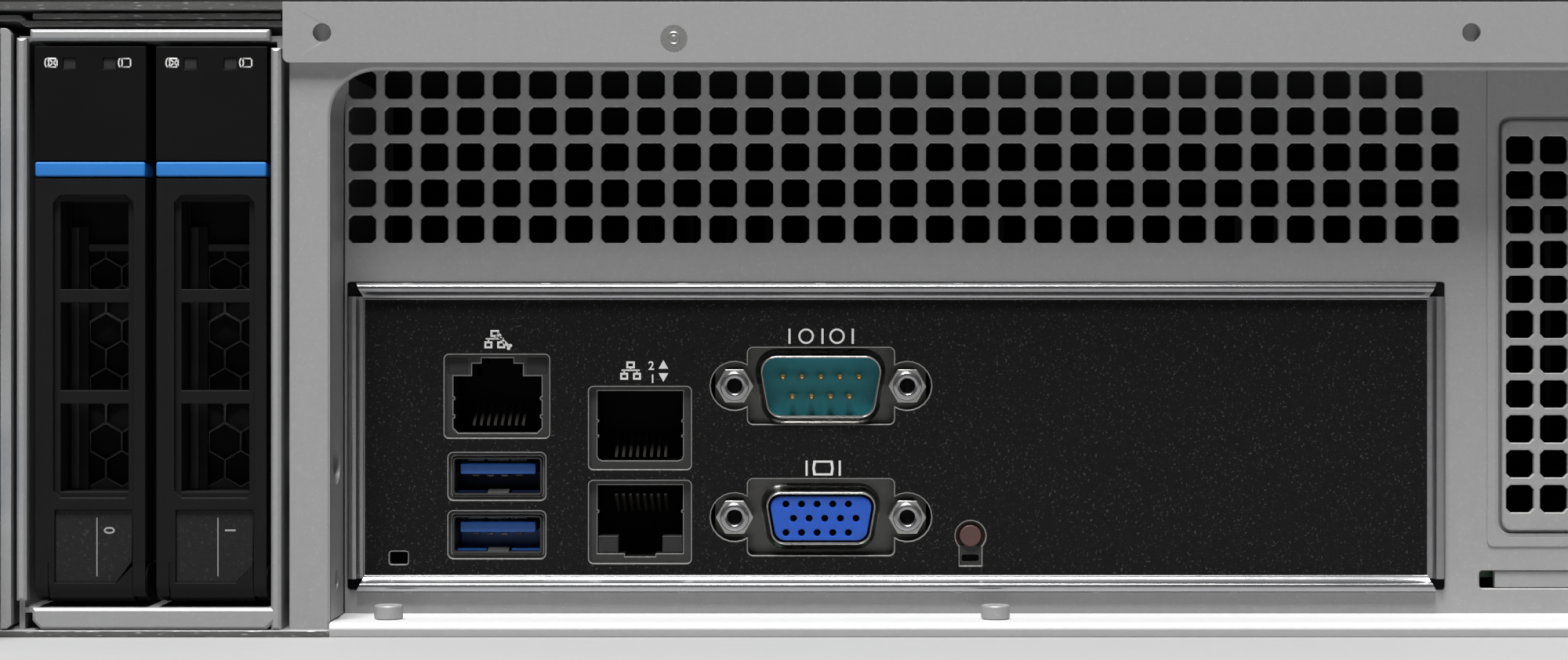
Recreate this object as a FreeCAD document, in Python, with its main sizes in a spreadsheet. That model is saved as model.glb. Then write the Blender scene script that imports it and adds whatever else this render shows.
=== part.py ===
import FreeCAD, Part
import math
import os
import re
import Sketcher

# A 2u rack server with its rear side at -Y: the rear panel with its grille, the port shield and the
# slot covers, a cage of two small drives, two power supplies, and inside it the board and fans.
# Millimetres, +Z up; the origin is the middle of the underside.

Vector = FreeCAD.Vector

SIZES = {
    # The body and its sheet metal.
    "body_width": 434.0,
    "body_height": 88.9,
    "body_depth": 660.0,
    "sheet_gauge": 1.0,
    "thin_gauge": 0.8,
    "gap": 0.3,                  # running clearance between neighbours
    "seat_gap": 0.1,             # clearance between pieces that are fastened together
    "bend_radius": 1.5,
    "split_place": 96.0,         # Y of the seam between the rear and the front cover
    "cover_flange": 12.0,
    "cover_lift": 60.0,
    # The rear: a frame at the lip, the panel sunk behind it, and the ledge below it.
    "recess": 14.0,
    "lip_height": 8.5,
    "lip_corner": 3.0,
    "lip_left": -98.1,
    "bar_left": -97.4,
    "bar_right": -91.7,
    "frame_top_inset": 9.5,
    "frame_corner": 6.5,
    # The grille of eight-sided holes above the shield.
    "grille_left": -89.05,
    "grille_low": 57.6,
    "grille_pitch": 5.225,
    "grille_rows": 4,
    "grille_columns": 31,
    "hole_width": 4.0,
    # The port shield.
    "shield_centre": -11.8,
    "shield_mid": 27.7,
    "shield_width": 158.75,
    "shield_height": 44.45,
    "rim_width": 2.2,
    "rim_proud": 1.4,
    "rim_bevel": 0.5,
    "rim_notch": 1.5,
    "uid_slot_drop": 3.3,
    "stack_window": 15.0,
    "stack_window_height": 11.8,
    "lan_window": 14.7,
    "lan_window_height": 11.7,
    "usb_window_room": 1.0,
    "port_window": 21.1,
    "port_window_height": 10.9,
    "reset_shift": 14.2,
    "reset_z": 10.1,
    # The board.
    "board_left": -91.0,
    "board_width": 304.8,
    "board_length": 330.0,
    "board_gauge": 1.6,
    "standoff": 6.0,
    # The network and USB jacks.
    "stack_x": -69.55,
    "lan_x": -48.85,
    "jack_width": 16.0,
    "jack_depth": 22.0,
    "plug_width": 11.9,
    "plug_height": 8.0,
    "plug_depth": 12.0,
    "jack_high": 33.4,
    "lan_low": 15.2,
    "lan_high": 28.8,
    "usb_low": 13.35,
    "usb_high": 21.8,
    "usb_width": 13.1,
    "usb_height": 5.7,
    # The two nine and fifteen way ports.
    "port_x": -22.65,
    "serial_z": 34.9,
    "vga_z": 15.9,
    "shell_width": 16.9,
    "shell_height": 8.2,
    "screw_spacing": 24.99,
    "post_hex": 4.8,
    "post_bore": 2.2,
    # Rear buttons.
    "uid_x": -1.0,
    "uid_z": 13.2,
    "uid_width": 3.2,
    "button_travel": 1.2,
    # The expansion slots.
    "slot_first": 83.3,
    "slot_pitch": 20.32,
    "slot_count": 7,
    "slot_width": 18.2,
    "slot_low": 12.4,
    "slot_high": 75.0,
    "slot_hole": 4.0,
    "slot_hole_pitch_x": 4.9,
    "slot_hole_pitch_z": 5.045,
    "slot_hole_low": 18.6,
    "slot_hole_rows": 11,
    # The cage of two small drives at the rear.
    "bay_left": -134.6,
    "bay_right": -99.2,
    "bay_low": 4.1,
    "bay_top_inset": 5.4,
    "bay_depth": 116.0,
    "roll_proud": 1.6,
    "tray_pitch": 16.95,
    "tray_width": 15.6,
    "tray_first": -125.1,
    "head_room": 0.8,
    "head_height": 16.0,
    "release_height": 2.0,
    "window_shift": 0.4,
    "window_half": 4.75,
    "window_bevel": 0.85,
    "window_lift": 15.9,
    "window_bar": 1.85,
    "handle_depth": 5.0,
    "handle_swing": 50.0,
    "drive_thick": 9.5,
    "drive_wide": 69.85,
    "drive_long": 100.2,
    "tray_travel": 125.0,
    # The two power supplies.
    "supply_width": 73.5,
    "supply_height": 40.0,
    "supply_length": 185.0,
    "supply_left": -211.4,
    "supply_travel": 190.0,
    "supply_handle": 26.0,
    # The fans.
    "fan_size": 80.0,
    "fan_depth": 38.0,
    "fan_pitch": 104.0,
    "fan_count": 4,
    "fan_front": 50.0,
    "fan_bore": 76.0,
    "hub_width": 40.0,
    "blade_count": 7,
    "blade_spread": 7.0,
    # The front cage and its eight trays.
    "front_columns": 4,
    "front_rows": 2,
    "front_pitch_x": 106.6,
    "front_pitch_z": 29.6,
    "front_tray_width": 104.6,
    "front_tray_height": 27.6,
    "front_low": 2.6,
    "front_tray_depth": 190.0,
    "front_travel": 200.0,
    "front_swing": 55.0,
    # The rack ears.
    "ear_span": 482.6,
    "ear_pattern": 465.1,
    "ear_gauge": 2.0,
    "ear_slot_length": 10.3,
    "ear_slot_height": 6.8,
    "ear_handle_reach": 26.0,
    "ear_slot_spacing": 76.2,
    "power_width": 9.0,
}

PLACES = {
    "rear_y": "-body_depth / 2",
    "front_y": "body_depth / 2",
    "half_width": "body_width / 2",
    "wall_out": "half_width - sheet_gauge - seat_gap * 2",
    "wall_in": "wall_out - sheet_gauge",
    "cover_under": "body_height - sheet_gauge",
    "inner_top": "cover_under - gap",
    "lip_low": "body_height - lip_height",
    "frame_y": "rear_y + sheet_gauge + gap",
    "frame_back": "frame_y + sheet_gauge",
    "panel_y": "rear_y + recess",
    "panel_back": "panel_y + sheet_gauge",
    "frame_top": "body_height - frame_top_inset",
    "ledge_top": "sheet_gauge * 2",
    "panel_left": "bar_right + seat_gap",
    "panel_right": "wall_in - seat_gap",
    "shield_left": "shield_centre - shield_width / 2",
    "shield_right": "shield_centre + shield_width / 2",
    "shield_low": "shield_mid - shield_height / 2",
    "shield_high": "shield_mid + shield_height / 2",
    "shield_face": "panel_y + seat_gap",
    "shield_back": "shield_face + thin_gauge",
    "jack_face": "shield_back + seat_gap",
    "board_low": "sheet_gauge + standoff",
    "board_top": "board_low + board_gauge",
    "board_rear": "panel_back + 2",
    "board_front": "board_rear + board_length",
    "port_split": "(serial_z + vga_z) / 2",
    "flange_y": "shield_face + 5",
    "bay_back": "rear_y + bay_depth",
    "bay_high": "body_height - bay_top_inset",
    "tray_top": "bay_high - head_room",
    "release_top": "tray_top - head_height - seat_gap * 2",
    "handle_top": "release_top - release_height - gap",
    "window_low": "handle_low + window_lift",
    "window_high": "handle_top - window_bevel - 2.3",
    "bay_wall_left": "bay_left - thin_gauge",
    "bay_wall_right": "bay_right + thin_gauge",
    "tray_low": "bay_low + gap",
    "tray_y": "rear_y + 0.5",
    "handle_low": "tray_low",
    "pivot_y": "tray_y + 3",
    "pivot_z": "handle_low + 3.1",
    "release_low": "handle_top + gap",
    "head_low": "release_top + seat_gap * 2",
    "drive_low": "(tray_low + tray_top - drive_wide) / 2",
    "drive_y": "tray_y + 9 + gap",
    "tray_back": "drive_y + drive_long",
    "supply_right": "supply_left + supply_width",
    "supply_low": "sheet_gauge + thin_gauge + gap",
    "supply_shelf": "supply_low + supply_height + gap",
    "supply_step": "supply_height + thin_gauge + gap * 2",
    "supply_back": "rear_y + supply_length",
    "cage_top": "supply_low + supply_step * 2 - gap",
    "fan_left": "-fan_pitch * (fan_count - 1) / 2",
    "fan_mid_z": "fan_low + fan_size / 2",
    "fan_low": "sheet_gauge + 1.5",
    "fan_back": "fan_front + fan_depth",
    "front_left": "-front_pitch_x * (front_columns - 1) / 2",
    "front_plane": "front_y - 4",
    "front_cage_top": "front_low + front_pitch_z * front_rows + 1",
    "front_cage_rear": "front_y - front_tray_depth - 12",
    "ear_right": "ear_span / 2",
}

# The document: the driving sizes in a sheet, and what follows from them in a set of places.
doc = FreeCAD.newDocument("RackServer")
sheet = doc.addObject("Spreadsheet::Sheet", "Sizes")
for row, (word, value) in enumerate(SIZES.items(), start=1):
    sheet.set(f"A{row}", word)
    sheet.set(f"B{row}", str(value))
    sheet.setAlias(f"B{row}", word)
doc.recompute()
places = doc.addObject("App::VarSet", "Places")
WORD = re.compile(r"[A-Za-z_][A-Za-z_0-9]*")


def bound(text):
    """Turn a formula in plain words into one that FreeCAD can follow."""
    def full(match):
        word = match.group(0)
        if word in SIZES:
            return f"Sizes.{word}"
        return f"Places.{word}" if word in PLACES else word
    return WORD.sub(full, str(text))


for word in PLACES:
    places.addProperty("App::PropertyFloat", word)
for word, formula in PLACES.items():
    places.setExpression(word, bound(formula))
doc.recompute()


def now(word):
    """Give the present value of a size or a place."""
    return getattr(sheet if word in SIZES else places, word)


# ---------------------------------------------------------------------------------------------
# Plain solids and what joins them.

nodes = []


def named(item, label):
    """Make an object a node of the assembly under this name."""
    item.Label = label
    nodes.append(item)
    return item


def box(name, x, y, z):
    """A box between pairs of formulas along each axis."""
    item = doc.addObject("Part::Box", name)
    for side, axis, (low, high) in (("Length", "x", x), ("Width", "y", y), ("Height", "z", z)):
        item.setExpression(side, bound(f"({high}) - ({low})"))
        item.setExpression(f"Placement.Base.{axis}", bound(low))
    return item


TURNS = {
    "x": FreeCAD.Rotation(Vector(0, 1, 0), 90),
    "y": FreeCAD.Rotation(Vector(1, 0, 0), -90),
    "z": FreeCAD.Rotation(),
}


def rod(name, x, y, z, radius, length, axis="y"):
    """A round bar from a start point along one axis."""
    item = doc.addObject("Part::Cylinder", name)
    item.Placement = FreeCAD.Placement(Vector(), TURNS[axis])
    item.setExpression("Radius", bound(radius))
    item.setExpression("Height", bound(length))
    for letter, formula in zip("xyz", (x, y, z)):
        item.setExpression(f"Placement.Base.{letter}", bound(formula))
    return item


def bar(name, x, y, z, radius, length, axis="y", sides=12):
    """A many-sided bar from a start point along one axis."""
    item = doc.addObject("Part::Prism", name)
    item.Polygon = sides
    item.Placement = FreeCAD.Placement(Vector(), TURNS[axis])
    item.setExpression("Circumradius", bound(radius))
    item.setExpression("Height", bound(length))
    for letter, formula in zip("xyz", (x, y, z)):
        item.setExpression(f"Placement.Base.{letter}", bound(formula))
    return item


def group(name, items):
    """Keep separate solids together in one node."""
    item = doc.addObject("Part::Compound", name)
    item.Links = items
    return item


def fuse(name, items):
    """Join solids into one."""
    item = doc.addObject("Part::MultiFuse", name)
    item.Shapes = items
    item.Refine = True
    return item


def cut(name, base, tools):
    """Take the tools out of the base."""
    item = doc.addObject("Part::Cut", name)
    item.Base = base
    item.Tool = tools[0] if len(tools) == 1 else fuse(f"{name}_tools", tools)
    item.Refine = True
    return item


# ---------------------------------------------------------------------------------------------
# Sketched bodies.

PLANES = {"top": "XY_Plane", "rear": "XZ_Plane", "side": "YZ_Plane"}


def rect(left, right, low, high):
    """The corners of a rectangle, as formulas."""
    return [(left, low), (right, low), (right, high), (left, high)]


def chamfered(x, z, half_x, half_z, chamfer):
    """The corners of a rectangle with its corners cut off, about a centre."""
    steps = [(-1, -1, 0, 1), (-1, -1, 1, 0), (1, -1, -1, 0), (1, -1, 0, 1),
             (1, 1, 0, -1), (1, 1, -1, 0), (-1, 1, 1, 0), (-1, 1, 0, -1)]
    return [(f"{x} + {a} * ({half_x}) + {c} * {chamfer}", f"{z} + {b} * ({half_z}) + {d} * {chamfer}")
            for a, b, c, d in steps]


def many_sided(x, z, radius, sides=12):
    """The outline of an upright many-sided hole or boss about a middle."""
    return [(f"{x} + ({radius}) * cos({step * 360 / sides})", f"{z} + ({radius}) * sin({step * 360 / sides})")
            for step in range(sides)]


def sketch(body, name, plane, level, outlines, circles=()):
    """A sketch on a plane of the body, of closed outlines and of circles (x, y, radius)."""
    item = body.newObject("Sketcher::SketchObject", name)
    item.AttachmentSupport = [(next(part for part in body.Origin.OriginFeatures
                                    if part.Role == PLANES[plane]), "")]
    item.MapMode = "FlatFace"
    sign = "-1 * " if plane == "rear" else ""
    item.setExpression("AttachmentOffset.Base.z", bound(f"{sign}({level})"))

    def place(index, point, axis, formula):
        kind = "DistanceX" if axis == "x" else "DistanceY"
        number = item.addConstraint(Sketcher.Constraint(kind, -1, 1, index, point, 1.0))
        item.setExpression(f"Constraints[{number}]", bound(formula))

    for points in outlines:
        first = item.GeometryCount
        count = len(points)
        for step in range(count):
            turn, ahead = 2 * math.pi * step / count, 2 * math.pi * (step + 1) / count
            item.addGeometry(Part.LineSegment(Vector(math.cos(turn), math.sin(turn), 0),
                                              Vector(math.cos(ahead), math.sin(ahead), 0)), False)
        for step in range(count):
            item.addConstraint(Sketcher.Constraint("Coincident", first + step, 2,
                                                   first + (step + 1) % count, 1))
            place(first + step, 1, "x", points[step][0])
            place(first + step, 1, "y", points[step][1])
    for x, y, radius in circles:
        index = item.GeometryCount
        item.addGeometry(Part.Circle(Vector(), Vector(0, 0, 1), 1.0), False)
        place(index, 3, "x", x)
        place(index, 3, "y", y)
        number = item.addConstraint(Sketcher.Constraint("Radius", index, 1.0))
        item.setExpression(f"Constraints[{number}]", bound(radius))
    return item


def pad(body, profile, length, back=False):
    """Thicken a sketch along its plane's own direction, or backwards."""
    item = body.newObject("PartDesign::Pad", f"{profile.Name}_pad")
    item.Profile = profile
    item.setExpression("Length", bound(length))
    item.Reversed = back
    return item


def pocket(body, profile, length):
    """Cut a sketch out of the body, both ways along its plane's direction."""
    item = body.newObject("PartDesign::Pocket", f"{profile.Name}_cut")
    item.Profile = profile
    item.setExpression("Length", bound(length))
    item.SideType = "Symmetric"
    return item


def repeat(body, feature, along, step, count, second=None):
    """Repeat a feature along one or two of the body's axes."""
    item = body.newObject("PartDesign::LinearPattern", f"{feature.Name}_row")
    item.Originals = [feature]
    axes = {part.Role: part for part in body.Origin.OriginFeatures}
    item.Direction = (axes[along], [""])
    item.Mode = "Spacing"
    item.setExpression("Offset", bound(step))
    item.setExpression("Occurrences", bound(count))
    if second:
        item.Direction2 = (axes[second[0]], [""])
        item.Mode2 = "Extent"
        item.setExpression("Length2", bound(f"({second[1]}) * ({second[2]} - 1)"))
        item.setExpression("Occurrences2", bound(second[2]))
    body.Tip = item
    return item


def new_body(label):
    """Start a sketched body that is a node."""
    return named(doc.addObject("PartDesign::Body", f"{label}_body"), label)


# ---------------------------------------------------------------------------------------------
# The sheet metal shell.


def chassis_base():
    """The folded tray: a floor and two side walls, with vents in the walls' front halves."""
    body = new_body("chassis_base")
    profile = [("-wall_out", "0"), ("wall_out", "0"), ("wall_out", "inner_top"), ("wall_in", "inner_top"),
               ("wall_in", "sheet_gauge"), ("-wall_in", "sheet_gauge"), ("-wall_in", "inner_top"),
               ("-wall_out", "inner_top")]
    shell = pad(body, sketch(body, "base_profile", "rear", "front_plane", [profile]),
                "front_plane - rear_y - seat_gap")
    notch = pad_cut(body, "base_notch", "top", "0",
                    [rect("panel_left - seat_gap", "half_width", "rear_y - 5",
                          "rear_y + sheet_gauge + seat_gap")], "body_height * 3")
    doc.recompute()
    bends = body.newObject("PartDesign::Fillet", "base_bends")
    bends.Base = (notch, edges_of(notch, lambda a, b: abs(a.x - b.x) < 1e-6 and abs(a.z) < 1e-6
                                  and abs(b.z) < 1e-6 and abs(a.y - b.y) > 100
                                  and abs(abs(a.x) - now("wall_out")) < 1e-6))
    bends.setExpression("Radius", bound("bend_radius"))
    return shell


def pad_cut(body, name, plane, level, outlines, length, circles=()):
    """A sketch and the pocket that it cuts."""
    return pocket(body, sketch(body, name, plane, level, outlines, circles), length)


def edges_of(feature, test):
    """Name the straight edges of a feature whose two ends pass the test."""
    found = []
    for index, edge in enumerate(feature.Shape.Edges, start=1):
        if len(edge.Vertexes) == 2 and test(edge.Vertexes[0].Point, edge.Vertexes[1].Point):
            found.append(f"Edge{index}")
    return found


def rear_panel():
    """The sunk panel with its grille and windows, folded forward into the ledge and its lip."""
    body = new_body("rear_panel")
    pad(body, sketch(body, "panel_sheet", "rear", "panel_y",
                     [rect("panel_left", "panel_right", "sheet_gauge", "inner_top - gap")]),
        "sheet_gauge", back=True)
    ledge = [("rear_y", "0.05"), ("rear_y + sheet_gauge", "0.05"), ("rear_y + sheet_gauge", "sheet_gauge"),
             ("panel_y + sheet_gauge / 2", "sheet_gauge"), ("panel_y + sheet_gauge / 2", "ledge_top"),
             ("rear_y", "ledge_top")]
    pad(body, sketch(body, "panel_ledge", "side", "panel_left", [ledge]), "panel_right - panel_left")
    pad_cut(body, "panel_window", "rear", "panel_y",
            [rect("shield_left", "shield_right", "shield_low", "shield_high")], "sheet_gauge * 4")
    slot = pad_cut(body, "panel_slot", "rear", "panel_y",
                   [chamfered("slot_first", "(slot_low + slot_high) / 2", "slot_width / 2 - 1.2",
                              "(slot_high - slot_low) / 2 - 1.2", "1.5")], "sheet_gauge * 4")
    repeat(body, slot, "X_Axis", "slot_pitch", "slot_count")
    toe = pad_cut(body, "panel_toe", "rear", "panel_y",
                  [rect("slot_first - slot_width / 2 - 1.6", "slot_first + 5", "5.6", "8.2")],
                  "sheet_gauge * 4")
    repeat(body, toe, "X_Axis", "slot_pitch", "slot_count")
    hole = pad_cut(body, "panel_hole", "rear", "panel_y",
                   [rect("grille_left - hole_width / 2", "grille_left + hole_width / 2",
                         "grille_low - hole_width / 2", "grille_low + hole_width / 2")], "sheet_gauge * 4")
    repeat(body, hole, "X_Axis", "grille_pitch", "grille_columns", ("Z_Axis", "grille_pitch", "grille_rows"))
    level = "grille_low + grille_pitch * grille_rows"
    top = pad_cut(body, "panel_top_hole", "rear", "panel_y",
                  [rect("grille_left - hole_width / 2", "grille_left + hole_width / 2",
                        f"{level} - hole_width / 2", f"{level} + hole_width / 2")], "sheet_gauge * 4")
    repeat(body, top, "X_Axis", "grille_pitch", "grille_columns - 1")


def rear_frame():
    """The upright bar and the top strip of the rear opening, with their returns to the panel."""
    body = new_body("rear_frame")
    outline = [("bar_left", "sheet_gauge"), ("bar_right", "sheet_gauge"), ("bar_right", "frame_top"),
               ("wall_in - seat_gap", "frame_top"), ("wall_in - seat_gap", "inner_top - gap"),
               ("bar_left", "inner_top - gap")]
    plate = pad(body, sketch(body, "frame_plate", "rear", "frame_y", [outline]), "sheet_gauge", back=True)
    returns = [("bar_right - sheet_gauge", "ledge_top"), ("bar_right", "ledge_top"),
               ("bar_right", "frame_top"), ("wall_in - seat_gap", "frame_top"),
               ("wall_in - seat_gap", "frame_top + sheet_gauge"),
               ("bar_right - sheet_gauge", "frame_top + sheet_gauge")]
    pad(body, sketch(body, "frame_returns", "rear", "frame_y", [returns]),
        "panel_y - frame_y - seat_gap", back=True)
    corner = [("bar_right", "frame_top"), ("bar_right", "frame_top - frame_corner"),
              ("bar_right + frame_corner * 0.07", "frame_top - frame_corner * 0.62"),
              ("bar_right + frame_corner * 0.29", "frame_top - frame_corner * 0.29"),
              ("bar_right + frame_corner * 0.62", "frame_top - frame_corner * 0.07"),
              ("bar_right + frame_corner", "frame_top")]
    pad(body, sketch(body, "frame_fillet", "rear", "frame_y", [corner]), "sheet_gauge", back=True)
    pad_cut(body, "frame_wall_holes", "side", "bar_right",
            [many_sided("panel_y - 6.5", "shield_mid - 3.5", "3.2", 16),
             many_sided("panel_y - 6.5", "shield_low + 2", "1.5", 10)], "sheet_gauge * 4")
    return plate


def rear_brace():
    """The stepped sheet under the cover that joins the upright bar to the left wall."""
    body = new_body("rear_brace")
    left, right = "-wall_in + seat_gap", "bar_left - seat_gap"
    step, low = "bay_wall_left + 0.9", "bay_high + roll_proud + gap + 0.2"
    high = "cage_top + thin_gauge * 2 + seat_gap * 2"
    profile = [(left, high), (f"{step} - 1", high), (step, low), (right, low), (right, f"{low} + thin_gauge"),
               (f"{step} + 0.3", f"{low} + thin_gauge"), (f"{step} - 0.7", f"{high} + thin_gauge"),
               (left, f"{high} + thin_gauge")]
    pad(body, sketch(body, "brace_sheet", "rear", "frame_y", [profile]), "30", back=True)


def io_shield():
    """The port shield: a black face sunk in a bright rim, with the cut-outs of the ports."""
    body = new_body("io_shield")
    room = "seat_gap * 2"
    outer = rect(f"shield_left + {room}", f"shield_right - {room}", f"shield_low + {room}",
                 f"shield_high - {room}")
    inner = rect("shield_left + rim_width", "shield_right - rim_width", "shield_low + rim_width",
                 "shield_high - rim_width")
    rim = pad(body, sketch(body, "shield_rim", "rear", "panel_y - rim_proud", [outer, inner]),
              "rim_proud + seat_gap + thin_gauge", back=True)
    doc.recompute()
    front = now("panel_y") - now("rim_proud")
    bead = body.newObject("PartDesign::Chamfer", "shield_bead")
    bead.Base = (rim, edges_of(rim, lambda a, b: abs(a.y - front) < 1e-6 and abs(b.y - front) < 1e-6))
    bead.setExpression("Size", bound("rim_bevel"))
    body.Tip = bead
    pad(body, sketch(body, "shield_plate", "rear", "shield_face", [outer]), "thin_gauge", back=True)
    notches = [rect(*pair_x, *pair_z)
               for pair_x in (("shield_left", "shield_left + rim_notch"), ("shield_right - rim_notch", "shield_right"))
               for pair_z in (("shield_low", "shield_low + rim_notch"), ("shield_high - rim_notch", "shield_high"))]
    notch = body.newObject("PartDesign::Pocket", "shield_notches")
    notch.Profile = sketch(body, "shield_notch_sketch", "rear", "panel_y - rim_proud - 1", notches)
    notch.setExpression("Length", bound("rim_proud + 1"))

    def port(x, z, width, height):
        half = f"({width}) / 2"
        rise = f"({height}) / 2"
        return rect(f"{x} - {half}", f"{x} + {half}", f"{z} - {rise}", f"{z} + {rise}")

    windows = [port("stack_x", "jack_high", "stack_window", "stack_window_height"),
               port("stack_x", "usb_high", "usb_width + usb_window_room", "usb_height + usb_window_room"),
               port("stack_x", "usb_low", "usb_width + usb_window_room", "usb_height + usb_window_room"),
               port("lan_x", "lan_high", "lan_window", "lan_window_height"),
               port("lan_x", "lan_low", "lan_window", "lan_window_height"),
               port("port_x", "serial_z", "port_window", "port_window_height"),
               port("port_x", "vga_z", "port_window", "port_window_height"),
               port("stack_x - reset_shift", "reset_z", "3", "2"),
               port("uid_x", "uid_z - uid_slot_drop", "2.8", "1.5")]
    windows.append(many_sided("uid_x", "uid_z", "uid_width / 2 + 0.6", 16))
    pad_cut(body, "shield_windows", "rear", "shield_face", windows, "thin_gauge * 4")
    ears = [many_sided(f"port_x + {side} * screw_spacing / 2", level, "post_hex / 2 + 1.06", 16)
            for side in (-1, 1) for level in ("serial_z", "vga_z")]
    pad_cut(body, "shield_ears", "rear", "shield_face", ears, "thin_gauge * 4")


def slot_covers():
    """The seven perforated covers behind the slots, each with a raised field, a toe and a top tab."""
    body = new_body("slot_covers")
    left, right = "slot_first - slot_width / 2", "slot_first + slot_width / 2"
    pad(body, sketch(body, "cover_sheet", "rear", "panel_back",
                     [rect(left, right, "slot_low - 2.6", "slot_high + 3")]), "thin_gauge", back=True)
    raised = chamfered("slot_first", "(slot_low + slot_high) / 2", "slot_width / 2 - 1.6",
                       "(slot_high - slot_low) / 2 - 1.6", "1.5")
    pad(body, sketch(body, "cover_field", "rear", "panel_back", [raised]), "sheet_gauge + 0.4")
    hollow = chamfered("slot_first", "(slot_low + slot_high) / 2", "slot_width / 2 - 2.4",
                       "(slot_high - slot_low) / 2 - 2.4", "1.5")
    hollow_sketch = sketch(body, "cover_hollow", "rear", "panel_back + thin_gauge", [hollow])
    field = body.newObject("PartDesign::Pocket", "cover_back")
    field.Profile = hollow_sketch
    field.setExpression("Length", bound("sheet_gauge + 0.4"))
    field.Reversed = True
    hole = pad_cut(body, "cover_hole", "rear", "panel_y",
                   [rect("slot_first - slot_hole_pitch_x - slot_hole / 2",
                         "slot_first - slot_hole_pitch_x + slot_hole / 2", "slot_hole_low - slot_hole / 2",
                         "slot_hole_low + slot_hole_pitch_z * (slot_hole_rows - 1) + slot_hole / 2")],
                   "sheet_gauge * 6")
    repeat(body, hole, "X_Axis", "slot_hole_pitch_x", "3")
    body.Label = "slot_cover_first"
    nodes.remove(body)
    row = doc.addObject("Part::Feature", "slot_cover_row")
    doc.recompute()
    copies = []
    for number in range(int(now("slot_count"))):
        copy = body.Shape.copy()
        copy.translate(Vector(number * now("slot_pitch"), 0, 0))
        copies.append(copy)
    row.Shape = Part.makeCompound(copies)
    named(row, "slot_covers")


def rear_cover():
    """The lift-off top cover over the rear, with side flanges and the folded lip over the panel."""
    top = box("cover_top", ("-half_width", "half_width"), ("rear_y", "split_place - seat_gap"),
              ("cover_under", "body_height"))
    lip = [box("cover_lip", ("lip_left + lip_corner", "half_width"), ("rear_y", "rear_y + sheet_gauge"),
               ("lip_low", "cover_under")),
           box("cover_lip_end", ("lip_left", "lip_left + lip_corner + 0.1"), ("rear_y", "rear_y + sheet_gauge"),
               ("lip_low + lip_corner", "cover_under")),
           rod("cover_lip_corner", "lip_left + lip_corner", "rear_y", "lip_low + lip_corner", "lip_corner",
               "sheet_gauge")]
    holes = [bar(f"cover_hole_{number}", place, "rear_y - 1", "body_height - 4.3", "1.3", "5")
             for number, place in enumerate(("lip_left + 5.5", "slot_first - 15.2"))]
    sides = [box(f"cover_side_{number}", pair, (start, "split_place - seat_gap"),
                 ("body_height - cover_flange", "cover_under"))
             for number, (pair, start) in enumerate(((("-half_width", "-half_width + sheet_gauge"), "rear_y"),
                                                     (("half_width - sheet_gauge", "half_width"),
                                                      "rear_y + sheet_gauge")))]
    named(group("rear_cover_set", [top, cut("cover_lip_cut", fuse("cover_lip_whole", lip), holes)] + sides),
          "rear_cover")


def front_cover():
    """The fixed top cover over the front cage."""
    top = box("front_top", ("-half_width", "half_width"), ("split_place", "front_plane"),
              ("cover_under", "body_height"))
    sides = [box(f"front_side_{number}", pair, ("split_place", "front_plane"),
                 ("body_height - cover_flange", "body_height"))
             for number, pair in enumerate((("-half_width", "-half_width + sheet_gauge"),
                                            ("half_width - sheet_gauge", "half_width")))]
    named(fuse("front_cover_shell", [top] + sides), "front_cover")


# ---------------------------------------------------------------------------------------------
# The ports on the board.


def jack_walls(name, x, z, key, low, high):
    """The walls, floor, roof, latch shoulders and back that leave a network jack's hole free."""
    outer = (f"{x} - jack_width / 2", f"{x} + jack_width / 2")
    inner = (f"{x} - plug_width / 2", f"{x} + plug_width / 2")
    hole = (f"{z} - plug_height / 2", f"{z} + plug_height / 2")
    latch = (hole[1], f"{hole[1]} + 1") if key > 0 else (f"{hole[0]} - 1", hole[0])
    depth = ("jack_face", "jack_face + plug_depth")
    pieces = {
        "back": (outer, (depth[1], "jack_face + jack_depth"), (low, high)),
        "left": ((outer[0], inner[0]), depth, (low, high)),
        "right": ((inner[1], outer[1]), depth, (low, high)),
        "floor": (inner, depth, (low, hole[0] if key > 0 else latch[0])),
        "roof": (inner, depth, (latch[1] if key > 0 else hole[1], high)),
        "latch_left": ((inner[0], f"{x} - 3"), depth, latch),
        "latch_right": ((f"{x} + 3", inner[1]), depth, latch),
    }
    return [box(f"{name}_{word}", *spans) for word, spans in pieces.items()]


def usb_walls(low, high):
    """The shell of the two USB ports below the single jack, with a tongue in each."""
    outer = ("stack_x - jack_width / 2", "stack_x + jack_width / 2")
    inner = ("stack_x - usb_width / 2", "stack_x + usb_width / 2")
    tongue = ("stack_x - usb_width / 2 + 1", "stack_x + usb_width / 2 - 1")
    depth = ("jack_face", "jack_face + 9.6")
    pieces = {
        "back": (outer, (depth[1], "jack_face + jack_depth"), (low, high)),
        "left": ((outer[0], inner[0]), depth, (low, high)),
        "right": ((inner[1], outer[1]), depth, (low, high)),
        "floor": (inner, depth, (low, "usb_low - usb_height / 2")),
        "middle": (inner, depth, ("usb_low + usb_height / 2", "usb_high - usb_height / 2")),
        "tongue_low": (tongue, ("jack_face + 0.6", depth[1]), ("usb_low + 0.1", "usb_low + 2")),
        "tongue_high": (tongue, ("jack_face + 0.6", depth[1]), ("usb_high + 0.1", "usb_high + 2")),
    }
    return [box(f"usb_{word}", *spans) for word, spans in pieces.items()]


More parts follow.
